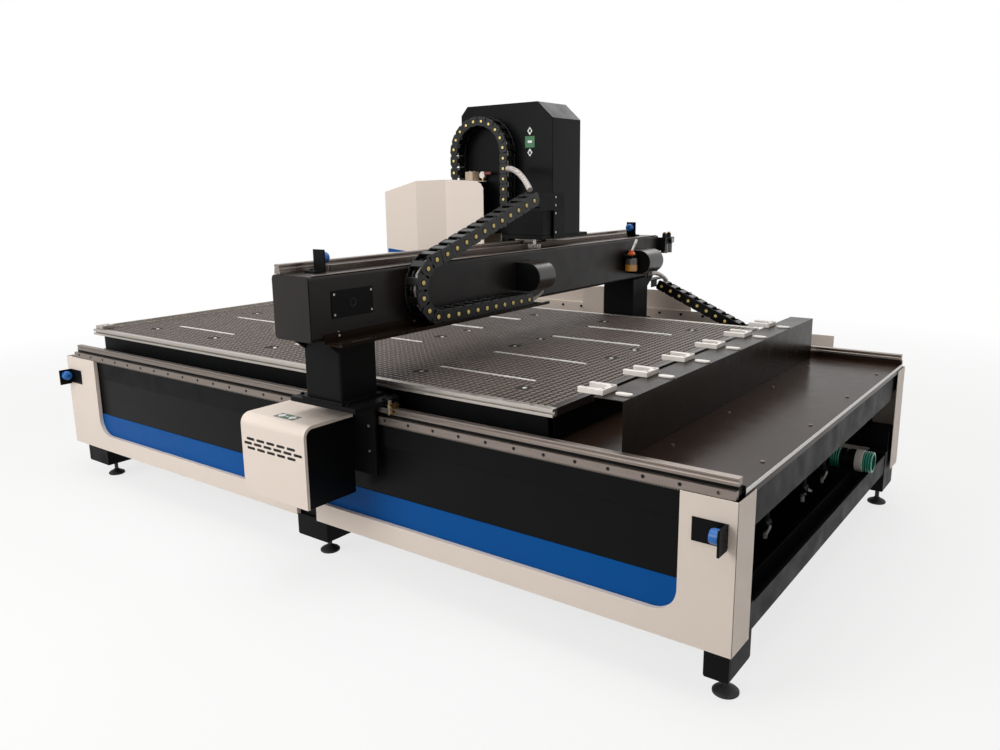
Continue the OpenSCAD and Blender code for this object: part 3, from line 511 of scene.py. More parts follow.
def make_materials(c):
    # Powder-coated sheet steel: warm off-white, its 5 mm orange peel spreads highlights into a soft sheen.
    painted("cream enamel", c.cream, 0.42, 5, 0.10, 0.014)
    # The same enamel on the long trough, drawn 14% darker as painted shade for its shaded far side, with a
    # stronger dusty drift: a flatter, slightly green cream.
    painted("trough enamel shade", shade(c.cream, 0.86)[:3], 0.5, 5, 0.10, 0.05, 0.4)
    # Powder-coated welded tube: near black, its 6 mm peel breaks reflections up so it looks matt face on.
    painted("black powder coat", c.black, 0.46, 6, 0.28, 0.14, 0.07)
    # Enamel on the long beam: brown-black, worn glossy by hands and hoses.
    painted("beam enamel", linear("#191412"), 0.36, 7, 0.2, 0.3, 0.2)
    # Rolled drum covers: the beam's enamel on a curve, drawn lighter and browner than on the beam as painted
    # sheen; its real gloss gathers a broad bright band.
    painted("drum enamel sheen", linear("#2B231F"), 0.3, 8, 0.08, 0.1, 0.6)
    # Stoved enamel on folded sheet: black and smooth, so broad lights show as a dull stripe from low down.
    painted("black sheet enamel", shade(c.black, 0.85)[:3], 0.34, 8, 0.12, 0.12, 0.08)
    # Enamel on the side panels: saturated, even blue with a satin skin.
    painted("blue enamel", c.blue, 0.38, 5, 0.10, 0.03, 0.08)
    # Handled glossy enamel: brown-black, mirrors what stands above it at a shallow angle, with smudges.
    tray = painted("tray enamel", linear("#281B14"), 0.22, 9, 0.08, 0.2, 0.07)
    # Folded carrier sheet: brown-black, smooth enough to catch the sky on its flat top.
    carrier = painted("carrier enamel", linear("#1C1510"), 0.26, 9, 0.02, 0.16, 0.1)
    # Lacquer over both turns what they mirror towards brown.
    for shader in (tray, carrier):
        wire(shader, {"Specular Tint": (*linear("#F0D0B8"), 1)})
    # Cast iron under thick paint: a coarse 4 mm skin that looks dull.
    painted("black painted casting", linear("#101112"), 0.5, 4, 0.4, 0.08, 0.14)
    # Screen-printed film: flat colour with hardly any relief.
    painted("sign print green", c.sign, 0.45, 5, 0.05, 0.02)
    # The same film over silver ink: a mid grey with a slight sheen that sets the plate off the cream.
    painted("sign film grey", linear("#5F625C"), 0.4, 5, 0.05, 0.06, 0.3)
    # Opaque white ink: the thickest layer of the print, flat and even so the marks read from afar.
    painted("sign print white", linear("#E9EEE8"), 0.5, 5, 0.05, 0.01)
    # Slot lips polished by the clamps: the brightest metal on the table.
    brushed("bright aluminium", linear("#F0ECE8"), 0.55, (1, 12, 1), 2.5)
    # Black anodised extrusion: a dark brown-black edge with a fine drawn line.
    painted("black anodised aluminium", linear("#2A2422"), 0.35, 3, 0.12, 0.08, 0.5)
    # Ground steel: scratches along the machine that stretch each highlight.
    brushed("ground steel", c.steel, 0.36)
    # Turned steel: rings too fine to tell apart, so an even soft gleam.
    brushed("turned steel", linear("#A7A29C"), 0.3, (1, 1, 1), 3)
    # Satin anodised aluminium: pale grey and silky, with faint drawn lines.
    brushed("anodised aluminium", c.aluminium, 0.42, (12, 12, 1), 2.5)
    # Zinc plate: a bright grey with small cloudy spangles.
    brushed("zinc plated steel", linear("#B9B6B2"), 0.3, (1, 1, 1), 4)
    # Turned brass: warm yellow glints on the small fittings.
    brushed("brass", linear("#B8924A"), 0.3, (1, 1, 1), 4)
    # Phenolic-faced board after milling: brown-grey pads with a cut-chip grain, worn lighter in places.
    moulded("machined board PVC", c.board, 0.5, 2.5, 0.25, 120)
    # The board's core: drawn nearly black as painted shade at the bottom of each groove.
    moulded("groove shade core", linear("#15110F"), 0.8, 2.5, 0.2)
    # Glass-filled nylon: black with a soft gloss on every rounded edge.
    moulded("chain nylon", c.chain, 0.30, 4, 0.10, gloss=0.3)
    # Snap-in cross bars: the same nylon polished by rubbing, greyer where they catch light.
    moulded("chain bar nylon", linear("#100F0E"), 0.3, 4, 0.10, gloss=0.5)
    # Unfilled nylon caps: pale yellow and waxy.
    moulded("pin cap nylon", c.pin, 0.4)
    # Painted shade: a dark red-brown ring round each cap stands for the shaded recess round it, with the
    # light of the cap falling in.
    moulded("pin ring shade", linear("#1E0D07"), 0.5, gloss=0.1)
    # Extruded PVC sheath: black and smooth, with long soft highlights.
    moulded("cable sheath PVC", linear("#101010"), 0.35, gloss=0.2)
    # Milled polyamide: chalky white, faintly yellowed.
    moulded("white nylon", c.white_nylon, 0.45)
    # Cast polyurethane: strong blue with a rubbery sheen.
    moulded("buffer polyurethane", c.buffer, 0.35)
    # Moulded rubber: dull black that takes no highlight.
    moulded("foot rubber", linear("#121212"), 0.6, 3, 0.3)
    # Injection-moulded caps and bowls: clean black with a low gloss.
    moulded("black nylon", linear("#0C0D0D"), 0.38, gloss=0.16)
    # Dyed nylon cap: a strong orange, satin, that picks the oil bottle out of the black around it.
    moulded("orange cap nylon", linear("#E0641C"), 0.35)
    # Plasticised PVC with a rigid spiral: deep sea green and wet-looking.
    moulded("hose PVC", c.hose, 0.25)
    # Rigid PVC collar: off-white and smooth, with a clean highlight round its edge.
    moulded("hose coupling PVC", linear("#E4E0DA"), 0.3)
    # Painted shade: a dull black that stands for the unlit hollow behind a slot or hole.
    moulded("painted hollow shade", linear("#040404"), 0.9)
    # Grained housing nylon: a dusty tan with no shine, unlike the enamel behind it.
    moulded("gland nylon", linear("#B5A28C"), 0.45)
    # Push-in elbow: dark wine red, slightly glossy where the collar is rounded.
    moulded("red elbow nylon", linear("#6E2A2A"), 0.4)
    # Steel braid under a clear sheath: crossed wires that glitter along the bends.
    braided("braided hose")
    # Clear resin half full of oil: amber below the level, smoke grey above it.
    clear_resin("oil bottle resin", linear("#C98A1E"))


# ---- floor, light and camera ---------------------------------------------------------------

class Step:
    """What every operator here has: it can be undone and run again with other values."""
    bl_options = {"REGISTER", "UNDO"}


class MACHINE_OT_stage(Step, bpy.types.Operator):
    """Sets the pale floor, the soft studio light and the camera"""
    bl_idname = "machine.stage"
    bl_label = "Floor, light and camera"

    def execute(self, context):
        make_materials(context.scene.machine_colours)
        self.floor()
        self.world()
        self.lamps()
        self.camera()
        context.scene.view_settings.view_transform = "Standard"
        return {"FINISHED"}

    def direct(self, tree):
        """1 for what the camera sees straight, in a reflection or through glass."""
        ray = add(tree, "ShaderNodeLightPath")
        seen = ray.outputs["Is Camera Ray"]
        for name in ("Is Glossy Ray", "Is Transmission Ray"):
            sight = {0: seen, 1: ray.outputs[name]}
            seen = add(tree, "ShaderNodeMath", sight, operation="MAXIMUM").outputs[0]
        return seen

    def floor(self):
        clear()
        bpy.ops.mesh.primitive_plane_add(size=60, location=(0, 0, 0))
        ground = bpy.context.object
        ground.name = "studio_floor"
        tree, shader = begin("pale studio floor")
        wire(shader, {"Base Color": (*linear("#C9C7C5"), 1), "Roughness": 0.8, "Specular IOR Level": 0.1})
        glow = add(tree, "ShaderNodeEmission", {"Color": (1, 1, 1, 1), "Strength": 1.0}).outputs[0]
        paper = add(tree, "ShaderNodeBsdfDiffuse", {"Color": (*linear("#F6F5F4"), 1)}).outputs[0]
        # Near the machine the floor takes its shadow; 7 m out it is plain white.
        place = add(tree, "ShaderNodeTexCoord").outputs["Object"]
        place = add(tree, "ShaderNodeMapping", {"Vector": place, "Scale": (1 / 7, 1 / 7, 1 / 7)}).outputs[0]
        near = add(tree, "ShaderNodeTexGradient", {"Vector": place}, gradient_type="SPHERICAL").outputs["Fac"]
        fade = {"Value": near, "From Min": 0, "From Max": 0.55, "To Min": 0, "To Max": 0.24}
        shadow = add(tree, "ShaderNodeMapRange", fade).outputs[0]
        seen = add(tree, "ShaderNodeMixShader", {0: shadow, 1: glow, 2: paper}).outputs[0]
        mix = add(tree, "ShaderNodeMixShader", {0: self.direct(tree), 1: shader.outputs[0], 2: seen})
        wire(tree.nodes["Material Output"], {0: mix.outputs[0]})
        paint([ground], "pale studio floor")

    def world(self):
        world = bpy.data.worlds.new("studio")
        bpy.context.scene.world = world
        world.use_nodes = True
        tree = world.node_tree
        tree.nodes.clear()
        dim = add(tree, "ShaderNodeBackground", {"Color": (*linear("#F2EEE9"), 1), "Strength": 0.30})
        white = add(tree, "ShaderNodeBackground", {"Color": (1, 1, 1, 1), "Strength": 1.0})
        mix = add(tree, "ShaderNodeMixShader", {0: self.direct(tree), 1: dim.outputs[0], 2: white.outputs[0]})
        add(tree, "ShaderNodeOutputWorld", {0: mix.outputs[0]})

    def lamps(self):
        # Each lamp's place, what it points at, its size in m and its power in W.
        rows = [("key", (1.2, 0.6, 5.4), (0, 0, 0.6), 4.5, 140),
                ("left", (6.0, -1.6, 3.0), (0.6, 0, 0.6), 3.5, 175),
                ("rear", (1.5, 7.0, 3.0), (0, 1.0, 0.5), 3.0, 15),
                ("far", (-5.2, -0.4, 5.1), (0, 0, 1.2), 3.5, 75)]
        for name, place, target, size, power in rows:
            light = bpy.data.lights.new(name, "AREA")
            light.size = size
            light.energy = power
            obj = bpy.data.objects.new(name, light)
            bpy.context.scene.collection.objects.link(obj)
            obj.location = place
            obj.rotation_euler = (Vector(target) - Vector(place)).to_track_quat("-Z", "Y").to_euler()

    def camera(self):
        data = bpy.data.cameras.new("camera")
        data.sensor_width = 36
        data.lens = 29.93
        data.shift_x = 0.0011
        data.shift_y = -0.0105
        data.clip_end = 100
        obj = bpy.data.objects.new("camera", data)
        bpy.context.scene.collection.objects.link(obj)
        turn, tilt, roll = radians(36.8), radians(12.1), radians(-0.7)
        forward = Vector((-cos(turn) * cos(tilt), -sin(turn) * cos(tilt), -sin(tilt)))
        look = forward.to_track_quat("-Z", "Y").to_matrix().to_4x4() @ Matrix.Rotation(roll, 4, "Z")
        obj.matrix_world = Matrix.Translation(at(3383.3, 2789.1, 1616.6)) @ look
        bpy.context.scene.camera = obj


# ---- hoses ---------------------------------------------------------------------------------

def laid(centre, heading, start, sweep, radius, count):
    """A hose's points on an arc in an upright plane; the heading is the plane's, in degrees."""
    way = Vector((cos(radians(heading)), sin(radians(heading)), 0))
    middle = at(*centre)
    return [middle + (way * u + Vector((0, 0, v))) * MM for u, v in arc(0, 0, radius, start, sweep, count)]


def tube(points, r, name):
    """A smooth hose through the points."""
    curve = bpy.data.curves.new(name, "CURVE")
    curve.dimensions = "3D"
    line = curve.splines.new("POLY")
    line.points.add(len(points) - 1)
    for spot, place in zip(line.points, points):
        spot.co = (*place, 1)
    curve.bevel_depth = r * MM
    curve.bevel_resolution = 5
    curve.use_fill_caps = True
    obj = bpy.data.objects.new(name, curve)
    bpy.context.scene.collection.objects.link(obj)
    return obj


class MACHINE_OT_hoses(Step, bpy.types.Operator):
    """Lays the braided hoses between the drums and the cable chains"""
    bl_idname = "machine.hoses"
    bl_label = "Braided hoses"

    def execute(self, context):
        loop = laid((106, 520, 1318), 0, 270, -29.5, 240, 16)
        over = laid((-1195, 515, 412), 187, 90, -26.3, 678, 18)
        across = laid((-90, 262, 1702 - 489), 56.1, 90, -38, 489, 18)
        for name, points, body, node, r in (("hose_mid_drum", loop, "gantry", "beam_hoses", 10),
                                            ("hose_end_drum", over, "gantry", "beam_hoses", 13),
                                            ("hose_tower", across, "carriage", "carriage_hose", 14)):
            obj = paint([tube(points, r, name)], "braided hose")[0]
            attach(obj, body)
            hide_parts(node)
        return {"FINISHED"}


# ---- bed -----------------------------------------------------------------------------------

LEGS = ((-1887, -1686), (-54, 138), (1878, 1963))    # where each leg starts and ends along Y
FOOT_X = 1014.5
LEG_LOW = 97


class MACHINE_OT_bed_frame(Step, bpy.types.Operator):
    """Builds the legs, feet and the bed's welded frame"""
    bl_idname = "machine.bed_frame"
    bl_label = "Bed frame"

    def execute(self, context):
        feet, legs, pads = [], [], []
        stem = [(0, 0), (41, 0), (44, 3), (44, 9), (38, 15), (20, 24), (14, 29), (10, 31), (10, 139),
                (0, 139)]
        nut = [(0, 78), (17.5, 78), (20, 80.5), (20, 94), (17.5, 96.5), (0, 96.5)]
        for y0, y1 in LEGS:
            foot = (FOOT_X, (y0 + y1) / 2, 0)
            feet += [lathe(stem, foot), lathe(nut, foot, steps=6)]
            legs.append(block((919, y0, LEG_LOW), (1098, y1, 299), 3))
            legs.append(block((1098.6, y0, LEG_LOW), (1110, y1, 194), 2))
            pads.append(block((921, y0 + 2, LEG_LOW - 5), (1108, y1 - 2, LEG_LOW), 1))
        piece("machine_feet", both(feet), "bed", "levelling_feet", "foot rubber")
        piece("bed_legs", both(legs + pads), "bed", "legs", "black powder coat")
        soft_piece("side_beam_tubes", "side_beams", "bed", "black powder coat")
        soft_piece("cross_beam_tubes", "cross_beams", "bed", "black powder coat")
        clothe("side_panels", "black sheet enamel")
        return {"FINISHED"}


def window(gap, post, end, grow=0.0):
    """The U outline of a side cover, in the YZ plane; grow moves the window's edge outwards."""
    flip = 1 if end > gap else -1
    edge, low = post + flip * grow, WINDOW_LOW - grow
    corner = arc(edge - flip * WINDOW_ROUND, low + WINDOW_ROUND, WINDOW_ROUND, 90 - 90 * flip, -90 * flip, 12)
    return [(gap, COVER_LOW), (end, COVER_LOW), (end, COVER_TOP), (edge, COVER_TOP), *corner, (gap, low)]


class MACHINE_OT_covers(Step, bpy.types.Operator):
    """Builds the cream side covers and the blue panels"""
    bl_idname = "machine.covers"
    bl_label = "Side covers"

    def execute(self, context):
        parts, panels = [], []
        inside, edge = COVER_FACE - 21, COVER_FACE - 1
        for gap, post, end in ((98, 1789, BED_END), (-30, -1686, -BED_END)):
            flip = 1 if end > gap else -1
            outer = window(gap, post, end)
            parts.append(plate(outer, "X", COVER_FACE - SHEET, COVER_FACE, 1.2, 3))
            # The fold round the window, the post's wide end, and the folds at the gap and underneath.
            fold = outer[3:] + window(gap, post, end, SHEET)[:2:-1]
            parts.append(plate(fold, "X", inside, COVER_FACE - 2, 1.0, 2))
            parts.append(block((984, end - flip * SHEET, COVER_LOW), (COVER_FACE, end, COVER_TOP), 1.2, 3))
            parts.append(block((inside, gap, COVER_LOW), (edge, gap + flip * SHEET, WINDOW_LOW), 1.0))
            parts.append(block((inside - 2, gap, COVER_LOW), (edge, end, COVER_LOW + SHEET), 1.0))
        piece("cream_side_covers", both(parts), "bed", "side_covers", "cream enamel")
        for y0, y1 in ((102, 1849), (-1746, -34)):
            panels.append(block((1105.2, y0, 263), (1107.2, y1, 398), 0.6))
        piece("blue_side_panels", both(panels), "bed", "blue_panels", "blue enamel")
        return {"FINISHED"}


# ---- table ---------------------------------------------------------------------------------

SLOT_X = (687, 293, -214, -573)
SLOT_Y = (-1516, -510, 455)
PORT_X = (805, 120, -105, -766)
PORT_Y = (-1556, -1016, -525, -20, 448, 985)


class MACHINE_OT_table(Step, bpy.types.Operator):
    """Builds the grooved board with its ports, slots and trims"""
    bl_idname = "machine.table"
    bl_label = "Vacuum table"

    def execute(self, context):
        self.board(context.scene.machine_sizes)
        self.ports()
        clothe("table_bearers", "black powder coat")
        clothe("t_slot_rails", "bright aluminium")
        self.trims()
        return {"FINISHED"}

    def board(self, sizes):
        """Rows of pads on a base painted dark as shade in the grooves, left out where a slot or a port is."""
        x0, y0 = -TABLE_X, TABLE_Y0
        pitch = sizes.pad_pitch / MM
        nx, ny = round(2 * TABLE_X / pitch), round((TABLE_Y1 - y0) / pitch)
        px, py = 2 * TABLE_X / nx, (TABLE_Y1 - y0) / ny
        half = sizes.groove / MM / 2
        pad = block((x0 + half, y0 + half, 845.8), (x0 + px - half, y0 + py - half, BOARD_TOP), 0)
        only(pad)
        for count, move in ((nx, (px * MM, 0, 0)), (ny, (0, py * MM, 0))):
            mod = pad.modifiers.new("row", "ARRAY")
            mod.count = count
            mod.use_relative_offset = False
            mod.use_constant_offset = True
            mod.constant_offset_displace = move
            bpy.ops.object.modifier_apply(modifier=mod.name)
        keep_out = [(x - 9, x + 9, y, y + 500) for x in SLOT_X for y in SLOT_Y]
        keep_out += [(x - 18, x + 18, y - 18, y + 18) for x in PORT_X for y in PORT_Y]
        bm = bmesh.new()
        bm.from_mesh(pad.data)
        cells = {}
        for vert in bm.verts:
            cell = (vert.co.x / MM - BED_X - x0) // px, (vert.co.y / MM - y0) // py
            cells.setdefault(cell, []).append(vert)
        lost = []
        for (i, j), verts in cells.items():
            a, b = x0 + i * px + half, x0 + (i + 1) * px - half
            c, d = y0 + j * py + half, y0 + (j + 1) * py - half
            if any(a < q and b > p and c < s and d > r for p, q, r, s in keep_out):
                lost += verts
        bottoms = [face for face in bm.faces if face.normal.z < -0.9]
        bmesh.ops.delete(bm, geom=bottoms, context="FACES_ONLY")
        bmesh.ops.delete(bm, geom=lost, context="VERTS")
        bm.to_mesh(pad.data)
        bm.free()
        paint([pad], "machined board PVC")
        # The base under the pads is painted near black for the shade in the grooves.
        base = paint([block((x0, y0, TABLE_LOW), (TABLE_X, TABLE_Y1, 846), 0)], "groove shade core")
        piece("grooved_board", [pad] + base, "bed", "vacuum_board")

    def trims(self):
        """The slotted side extrusions, the end bars and the stop with its corner block."""
        top, wide = 851.5, TABLE_X - 0.2
        inner, outer, mouth, root = TABLE_X + 0.2, TABLE_X + 30, 1017, 1012
        start, end = TABLE_Y0 - 30, TABLE_Y1 + 30
        slot = [(outer, 831), (mouth, 831), (mouth, 828), (root, 828), (root, 842), (mouth, 842),
                (mouth, 839), (outer, 839)]
        outline = [(inner, TABLE_LOW), (outer, TABLE_LOW), *slot, (outer, top), (inner, top)]
        bright = both([plate(outline, "Y", start, end, 0.6, 1)])
        bright.append(block((-wide, start, TABLE_LOW), (wide, TABLE_Y0 - 0.2, top), 1.2))
        bright.append(block((-1010, start, top + 0.3), (930, start + 14, 866), 1.5))
        bright.append(block((934, start, top + 0.3), (1008, start + 70, 870), 2))
        bright += bolts([(x, start + 35, 870) for x in (955, 987)], (0, 0, 1), 6, 3)
        paint(bright, "anodised aluminium")
        dark = paint([block((-wide, TABLE_Y1 + 0.2, TABLE_LOW), (wide, end, top), 1.2)],
                     "black anodised aluminium")
        piece("table_edge_profiles", bright + dark, "bed", "table_trims")

    def ports(self):
        """A white ring round a hole whose bottom is painted dark as shade, copied to every port."""
        x0, y0 = PORT_X[0], PORT_Y[0]
        rim = [(4, 846.2), (4, 848.6), (5, 849.6), (8, 849.6), (9, 848.6), (9, 846.2)]
        # The black disc at the bottom of each hole is painted shade.
        hollow = [(8.9, 846.4), (15.6, 846.4), (15.6, 846.1), (8.9, 846.1)]
        port = paint([lathe(rim, (x0, y0, 0), steps=24)], "white nylon")
        port += paint([lathe(hollow, (x0, y0, 0), steps=24)], "painted hollow shade")
        parts = list(port)
        for x in PORT_X:
            for y in PORT_Y:
                if (x, y) != (x0, y0):
                    parts += [shifted(p, Vector((x - x0, y - y0, 0))) for p in port]
        piece("suction_ports", parts, "bed")


# ---- rear of the bed -----------------------------------------------------------------------

FORK_X = (957, 632, 307, -18, -343, -668)
CARRIER_TOP = 923


class MACHINE_OT_rear(Step, bpy.types.Operator):
    """Builds the tray, the apron and the row of tool forks"""
    bl_idname = "machine.rear"
    bl_label = "Tray and tool rack"

    def execute(self, context):
        under, end = TRAY_TOP - SHEET, 1972
        sheet = [block((-TRAY_X, 1230, under), (TRAY_X, end, TRAY_TOP), 0.8),
                 block((-TRAY_X, end - SHEET, 690), (TRAY_X, end, 725), 1.0)]
        sheet += both([block((TRAY_X - SHEET, 1276, under + 1), (TRAY_X, end, 736), 0.8)])
        piece("tray_sheet", sheet, "bed", "rear_tray", "tray enamel")
        lip = [block((-TRAY_X, end + 0.2, 712), (TRAY_X, end + 2, 726), 0.5)]
        piece("tray_lip", lip, "bed", finish="zinc plated steel")
        spots = [(x, y, TRAY_TOP) for x in (-780, -260, 260, 780) for y in (1600, 1920)]
        piece("tray_screws", bolts(spots, (0, 0, 1), 7, 4), "bed", finish="ground steel")
        skirt = [block((-985, 1233, TRAY_TOP + 0.4), (985, 1233 + SHEET, 819.6), 0.8)]
        piece("table_end_skirt", skirt, "bed", finish="black sheet enamel")
        self.carrier()
        parts = []
        for x in FORK_X:
            parts += self.fork(x)
        piece("fork_row", parts, "bed", "tool_forks")
        return {"FINISHED"}

    def carrier(self):
        """One folded sheet: a foot on the tray, a wall, a top and a short lip at the front."""
        low, top = TRAY_TOP + 0.3, CARRIER_TOP
        wall, front, foot = 1536, 1421, 1500
        outline = [(wall, low), (wall, top), (front, top), (front, top - 18), (front + SHEET, top - 18),
                   (front + SHEET, top - SHEET), (wall - SHEET, top - SHEET), (wall - SHEET, low + SHEET),
                   (foot, low + SHEET), (foot, low)]
        apron = [plate(outline, "X", -1030, 1030, 1.0, 2)]
        piece("fork_carrier_sheet", apron, "bed", "rear_apron", "carrier enamel")

    def fork(self, x):
        """A fork with its mouth towards the table, its strip behind and two screws."""
        mouth, prong, back, side = 31, 10, 1446, 50
        outline = [(x - side, back), *arc(x - side + prong, 1352, prong, 180, 180, 6),
                   *arc(x, 1398, mouth, 180, -180, 8), *arc(x + side - prong, 1352, prong, 180, 180, 6),
                   (x + side, back)]
        strip = arc(x, 1516, 15, 0, 180, 8) + arc(x, 1483, 15, 180, 180, 8)
        parts = [plate(outline, "Z", CARRIER_TOP + 0.4, 943, 2, 3),
                 plate(strip, "Z", CARRIER_TOP + 0.2, 930, 1.5)]
        paint(parts, "white nylon")
        heads = bolts([(x - 30, 1436, 942), (x + 30, 1436, 942)], (0, 0, 1), 6, 3)
        return parts + paint(heads, "zinc plated steel")


# ---- rails, racks and buffers --------------------------------------------------------------

def rail_section(x0, x1, z0, z1):
    """A profile rail's outline with a waist on both sides."""
    w, h = x1 - x0, z1 - z0
    half = [(0, 0), (0, 0.34), (0.1, 0.45), (0.1, 0.62), (0, 0.74), (0, 0.95), (0.05, 1)]
    left = [(x0 + w * u, z0 + h * v) for u, v in half]
    right = [(x1 - w * u, z0 + h * v) for u, v in half]
    return left + right[::-1]


class MACHINE_OT_rails(Step, bpy.types.Operator):
    """Builds the long rails, bolts the racks and sets the end buffers"""
    bl_idname = "machine.rails"
    bl_label = "Rails, racks and buffers"

    def execute(self, context):
        rail = [plate(rail_section(1079, 1107, 741.6, 767.4), "Y", -1889, 1964, 0)]
        rail += bolts([(1093, -1860 + 120 * i, 767.0) for i in range(32)], (0, 0, 1), 5.5, 0.6)
        piece("bed_rails", both(rail), "bed", "y_rails", "ground steel", 25)
        clothe("y_racks", "ground steel")
        heads = bolts([(1127.2, -1839 + 125 * i, 719) for i in range(30)], (1, 0, 0), 6.5, 0.6)
        piece("rack_bolts", both(heads), "bed", finish="black painted casting")
        piece("bed_buffers", both(both(self.buffer(), "Y")), "bed", "bed_bumpers")
        return {"FINISHED"}

    def buffer(self):
        """A rubber buffer on an angle that is bolted to the side cover."""
        y, z, bracket = 1940, 629, COVER_FACE + 3.5
        steel = [block((COVER_FACE + 0.3, y - 108, 551), (bracket, y + 8, z), 0.8),
                 block((1135.3, y, 545), (1199.3, y + 8, z), 1.5)]
        # Nearly flush heads: the leg plate passes half a millimetre away.
        spots = [(bracket, y - 90, 566), (bracket, y - 90, 612), (bracket, y - 40, 590)]
        steel += bolts(spots, (1, 0, 0), 6, 0.3)
        rubber = [(0, 0), (20, 0), (24.5, 4), (24.5, 26), (22, 32), (14, 35), (5, 35), (5, 20), (0, 20)]
        pad = lathe(rubber, (1167.3, y, 597), "Y", 28, -1)
        return paint(steel, "black powder coat") + paint([pad], "buffer polyurethane")


class MACHINE_OT_suction(Step, bpy.types.Operator):
    """Builds the suction main with its valves, the spiral hose and the trough of the long cable chain"""
    bl_idname = "machine.suction"
    bl_label = "Suction main"

    def execute(self, context):
        clothe("vacuum_manifold", "black painted casting")
        self.hose()
        self.valves()
        # The trough's cream is drawn darker than the covers' as painted shade.
        soft_piece("folded_trough", "chain_trough", "bed", "trough enamel shade")
        heads = bolts([(-1603.5, -1410 + 150 * i, 790) for i in range(16)], (1, 0, 0), 8.7, 8)
        piece("trough_bolts", heads, "bed", finish="black nylon")
        return {"FINISHED"}

    def hose(self):
        """Two stubs of ribbed hose with a coupling and a collar between them."""
        x, z, bore = -600, 340, 38
        parts = []
        rib = [(43, 0), (47, 0.5), (49.5, 3), (49.5, 5), (47, 7.5), (43, 8)]
        for y0, y1 in ((1790.3, 1835), (1935, 1975.6)):
            wall = [(bore, 0), (44, 0), (44, y1 - y0), (bore, y1 - y0)]
            parts.append(lathe(wall, (x, y0, z), "Y", 32))
            parts += [lathe(rib, (x, y0 + 1 + i * 10.5, z), "Y", 32) for i in range(4)]
        paint(parts, "hose PVC")
        coupling = [(bore, 0), (47, 0), (49, 2), (49, 26), (46, 28), (46, 37), (49, 39), (49, 63), (47, 65),
                    (bore, 65)]
        collar = [(bore, 0), (50, 0), (52, 2), (52, 33), (50, 35), (bore, 35)]
        parts += paint([lathe(coupling, (x, 1835, z), "Y", 36)], "black nylon")
        parts += paint([lathe(collar, (x, 1900, z), "Y", 36)], "hose coupling PVC")
        piece("suction_hose", parts, "bed", "vacuum_hose")

    def valves(self):
        """Three small valves, their levers to one side or the other."""
        y, parts = 1780, []
        stem = [(0, 0), (9, 0), (9, 26), (7, 30), (7, 44), (0, 44)]
        nut = [(0, 0), (15, 0), (17, 2), (17, 12), (15, 14), (0, 14)]
        for x, lean in ((-490, 1), (-195, -1), (282, 1)):
            lever = [(x + lean * u, v) for u, v in ((4, 286), (52, 268), (56, 276), (8, 300))]
            parts += paint([lathe(stem, (x, y, 236))], "white nylon")
            parts += paint([lathe(nut, (x, y, 264), steps=6)], "zinc plated steel")
            parts += paint([plate(lever, "Y", y + 18.5, y + 25, 2)], "white nylon")
        piece("drain_valves", parts, "bed")


# ---- cable chains --------------------------------------------------------------------------

# Each cable's place across and up in the link, its radius and its finish.
CABLES = ((-21, -3, 8.5, "cable sheath PVC"), (-4, 2, 7, "braided hose"), (11, -4, 6, "cable sheath PVC"),
          (23, 2, 7.5, "cable sheath PVC"))


def link(pitch, high, wide):
    """One chain link about the origin, along X, with its pins along Y and its length of the cables inside."""
    parts = []
    for s in SIDES:
        y, face = s * (wide / 2 - 2.6), s * (wide / 2 - 0.4)
        outer = link_plate(pitch - 0.8, high, y, 5.0, high * 0.2)
        inner = link_plate(pitch * 0.7, high * 0.9, s * (wide / 2 - 6.4), 2.6, high * 0.3)
        inner.data.transform(Matrix.Translation(Vector((pitch * 0.42, 0, 0)) * MM))
        rib = free_block((-pitch * 0.16, y - 3.1, -high * 0.36), (-pitch * 0.09, y + 3.1, high * 0.36), 0.5)
        parts += paint([outer, inner, rib], "chain nylon")
        # A dark ring round each cap is painted shade of the recess round it.
        parts += paint([free_rod(face, s * (wide / 2 + 0.7), high * 0.235)], "pin ring shade")
        parts += paint([free_rod(face, s * (wide / 2 + 1.8), high * 0.155)], "pin cap nylon")
    for s in SIDES:
        z, across = s * (high / 2 - 3.5), wide / 2 - 5
        bar = free_block((-pitch * 0.24, -across, z - 3), (pitch * 0.24, across, z + 3), 2)
        parts += paint([bar], "chain bar nylon")
    for y, z, r, finish in CABLES:
        ends = [(s * (pitch / 2 + 1) - BED_X, y, z) for s in SIDES]
        parts += paint([rod(*ends, r, 0, 8)], finish)
    return join(parts)


def link_plate(long, high, y, thick, r):
    """A side plate with round corners, about the origin."""
    outline = rounded(-long / 2 - BED_X, long / 2 - BED_X, -high / 2, high / 2, r, 4)
    return plate(outline, "Y", y - thick / 2, y + thick / 2, 0.9, 1)


def free_block(low, high, width):
    """A block given about the origin."""
    return block((low[0] - BED_X, low[1], low[2]), (high[0] - BED_X, high[1], high[2]), width, 1)


def free_rod(y0, y1, r):
    """A short rod along Y, given about the origin."""
    return rod((-BED_X, y0, 0), (-BED_X, y1, 0), r, 0.6, 14)


def straight(start, end, count):
    """Places of links on a straight run: along, up, and the turn in degrees."""
    step_x, step_z = (end[0] - start[0]) / count, (end[1] - start[1]) / count
    turn = degrees(atan2(step_z, step_x))
    return [(start[0] + step_x * (i + 0.5), start[1] + step_z * (i + 0.5), turn) for i in range(count)]


def half_turn(centre, r, count):
    """Places of links round a bend, from its foot to its top."""
    spots = []
    for i in range(count):
        a = -90 + 180 * (i + 0.5) / count
        spots.append((centre[0] + r * cos(radians(a)), centre[1] + r * sin(radians(a)), a + 90))
    return spots


def chain_piece(node, unit, spots, place):
    """Links joined into one strand in the XZ plane and carried to their place by a matrix."""
    parts = []
    for along, up, turn in spots:
        move = Matrix.Translation(Vector((along, 0, up)) * MM) @ Matrix.Rotation(radians(-turn), 4, "Y")
        parts.append(copied(unit, move))
    obj = join(parts)
    obj.name = obj.data.name = node + "_links"
    obj.data.transform(place)
    only(obj)
    bpy.ops.object.shade_smooth_by_angle(angle=radians(35))
    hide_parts(node)
    return obj


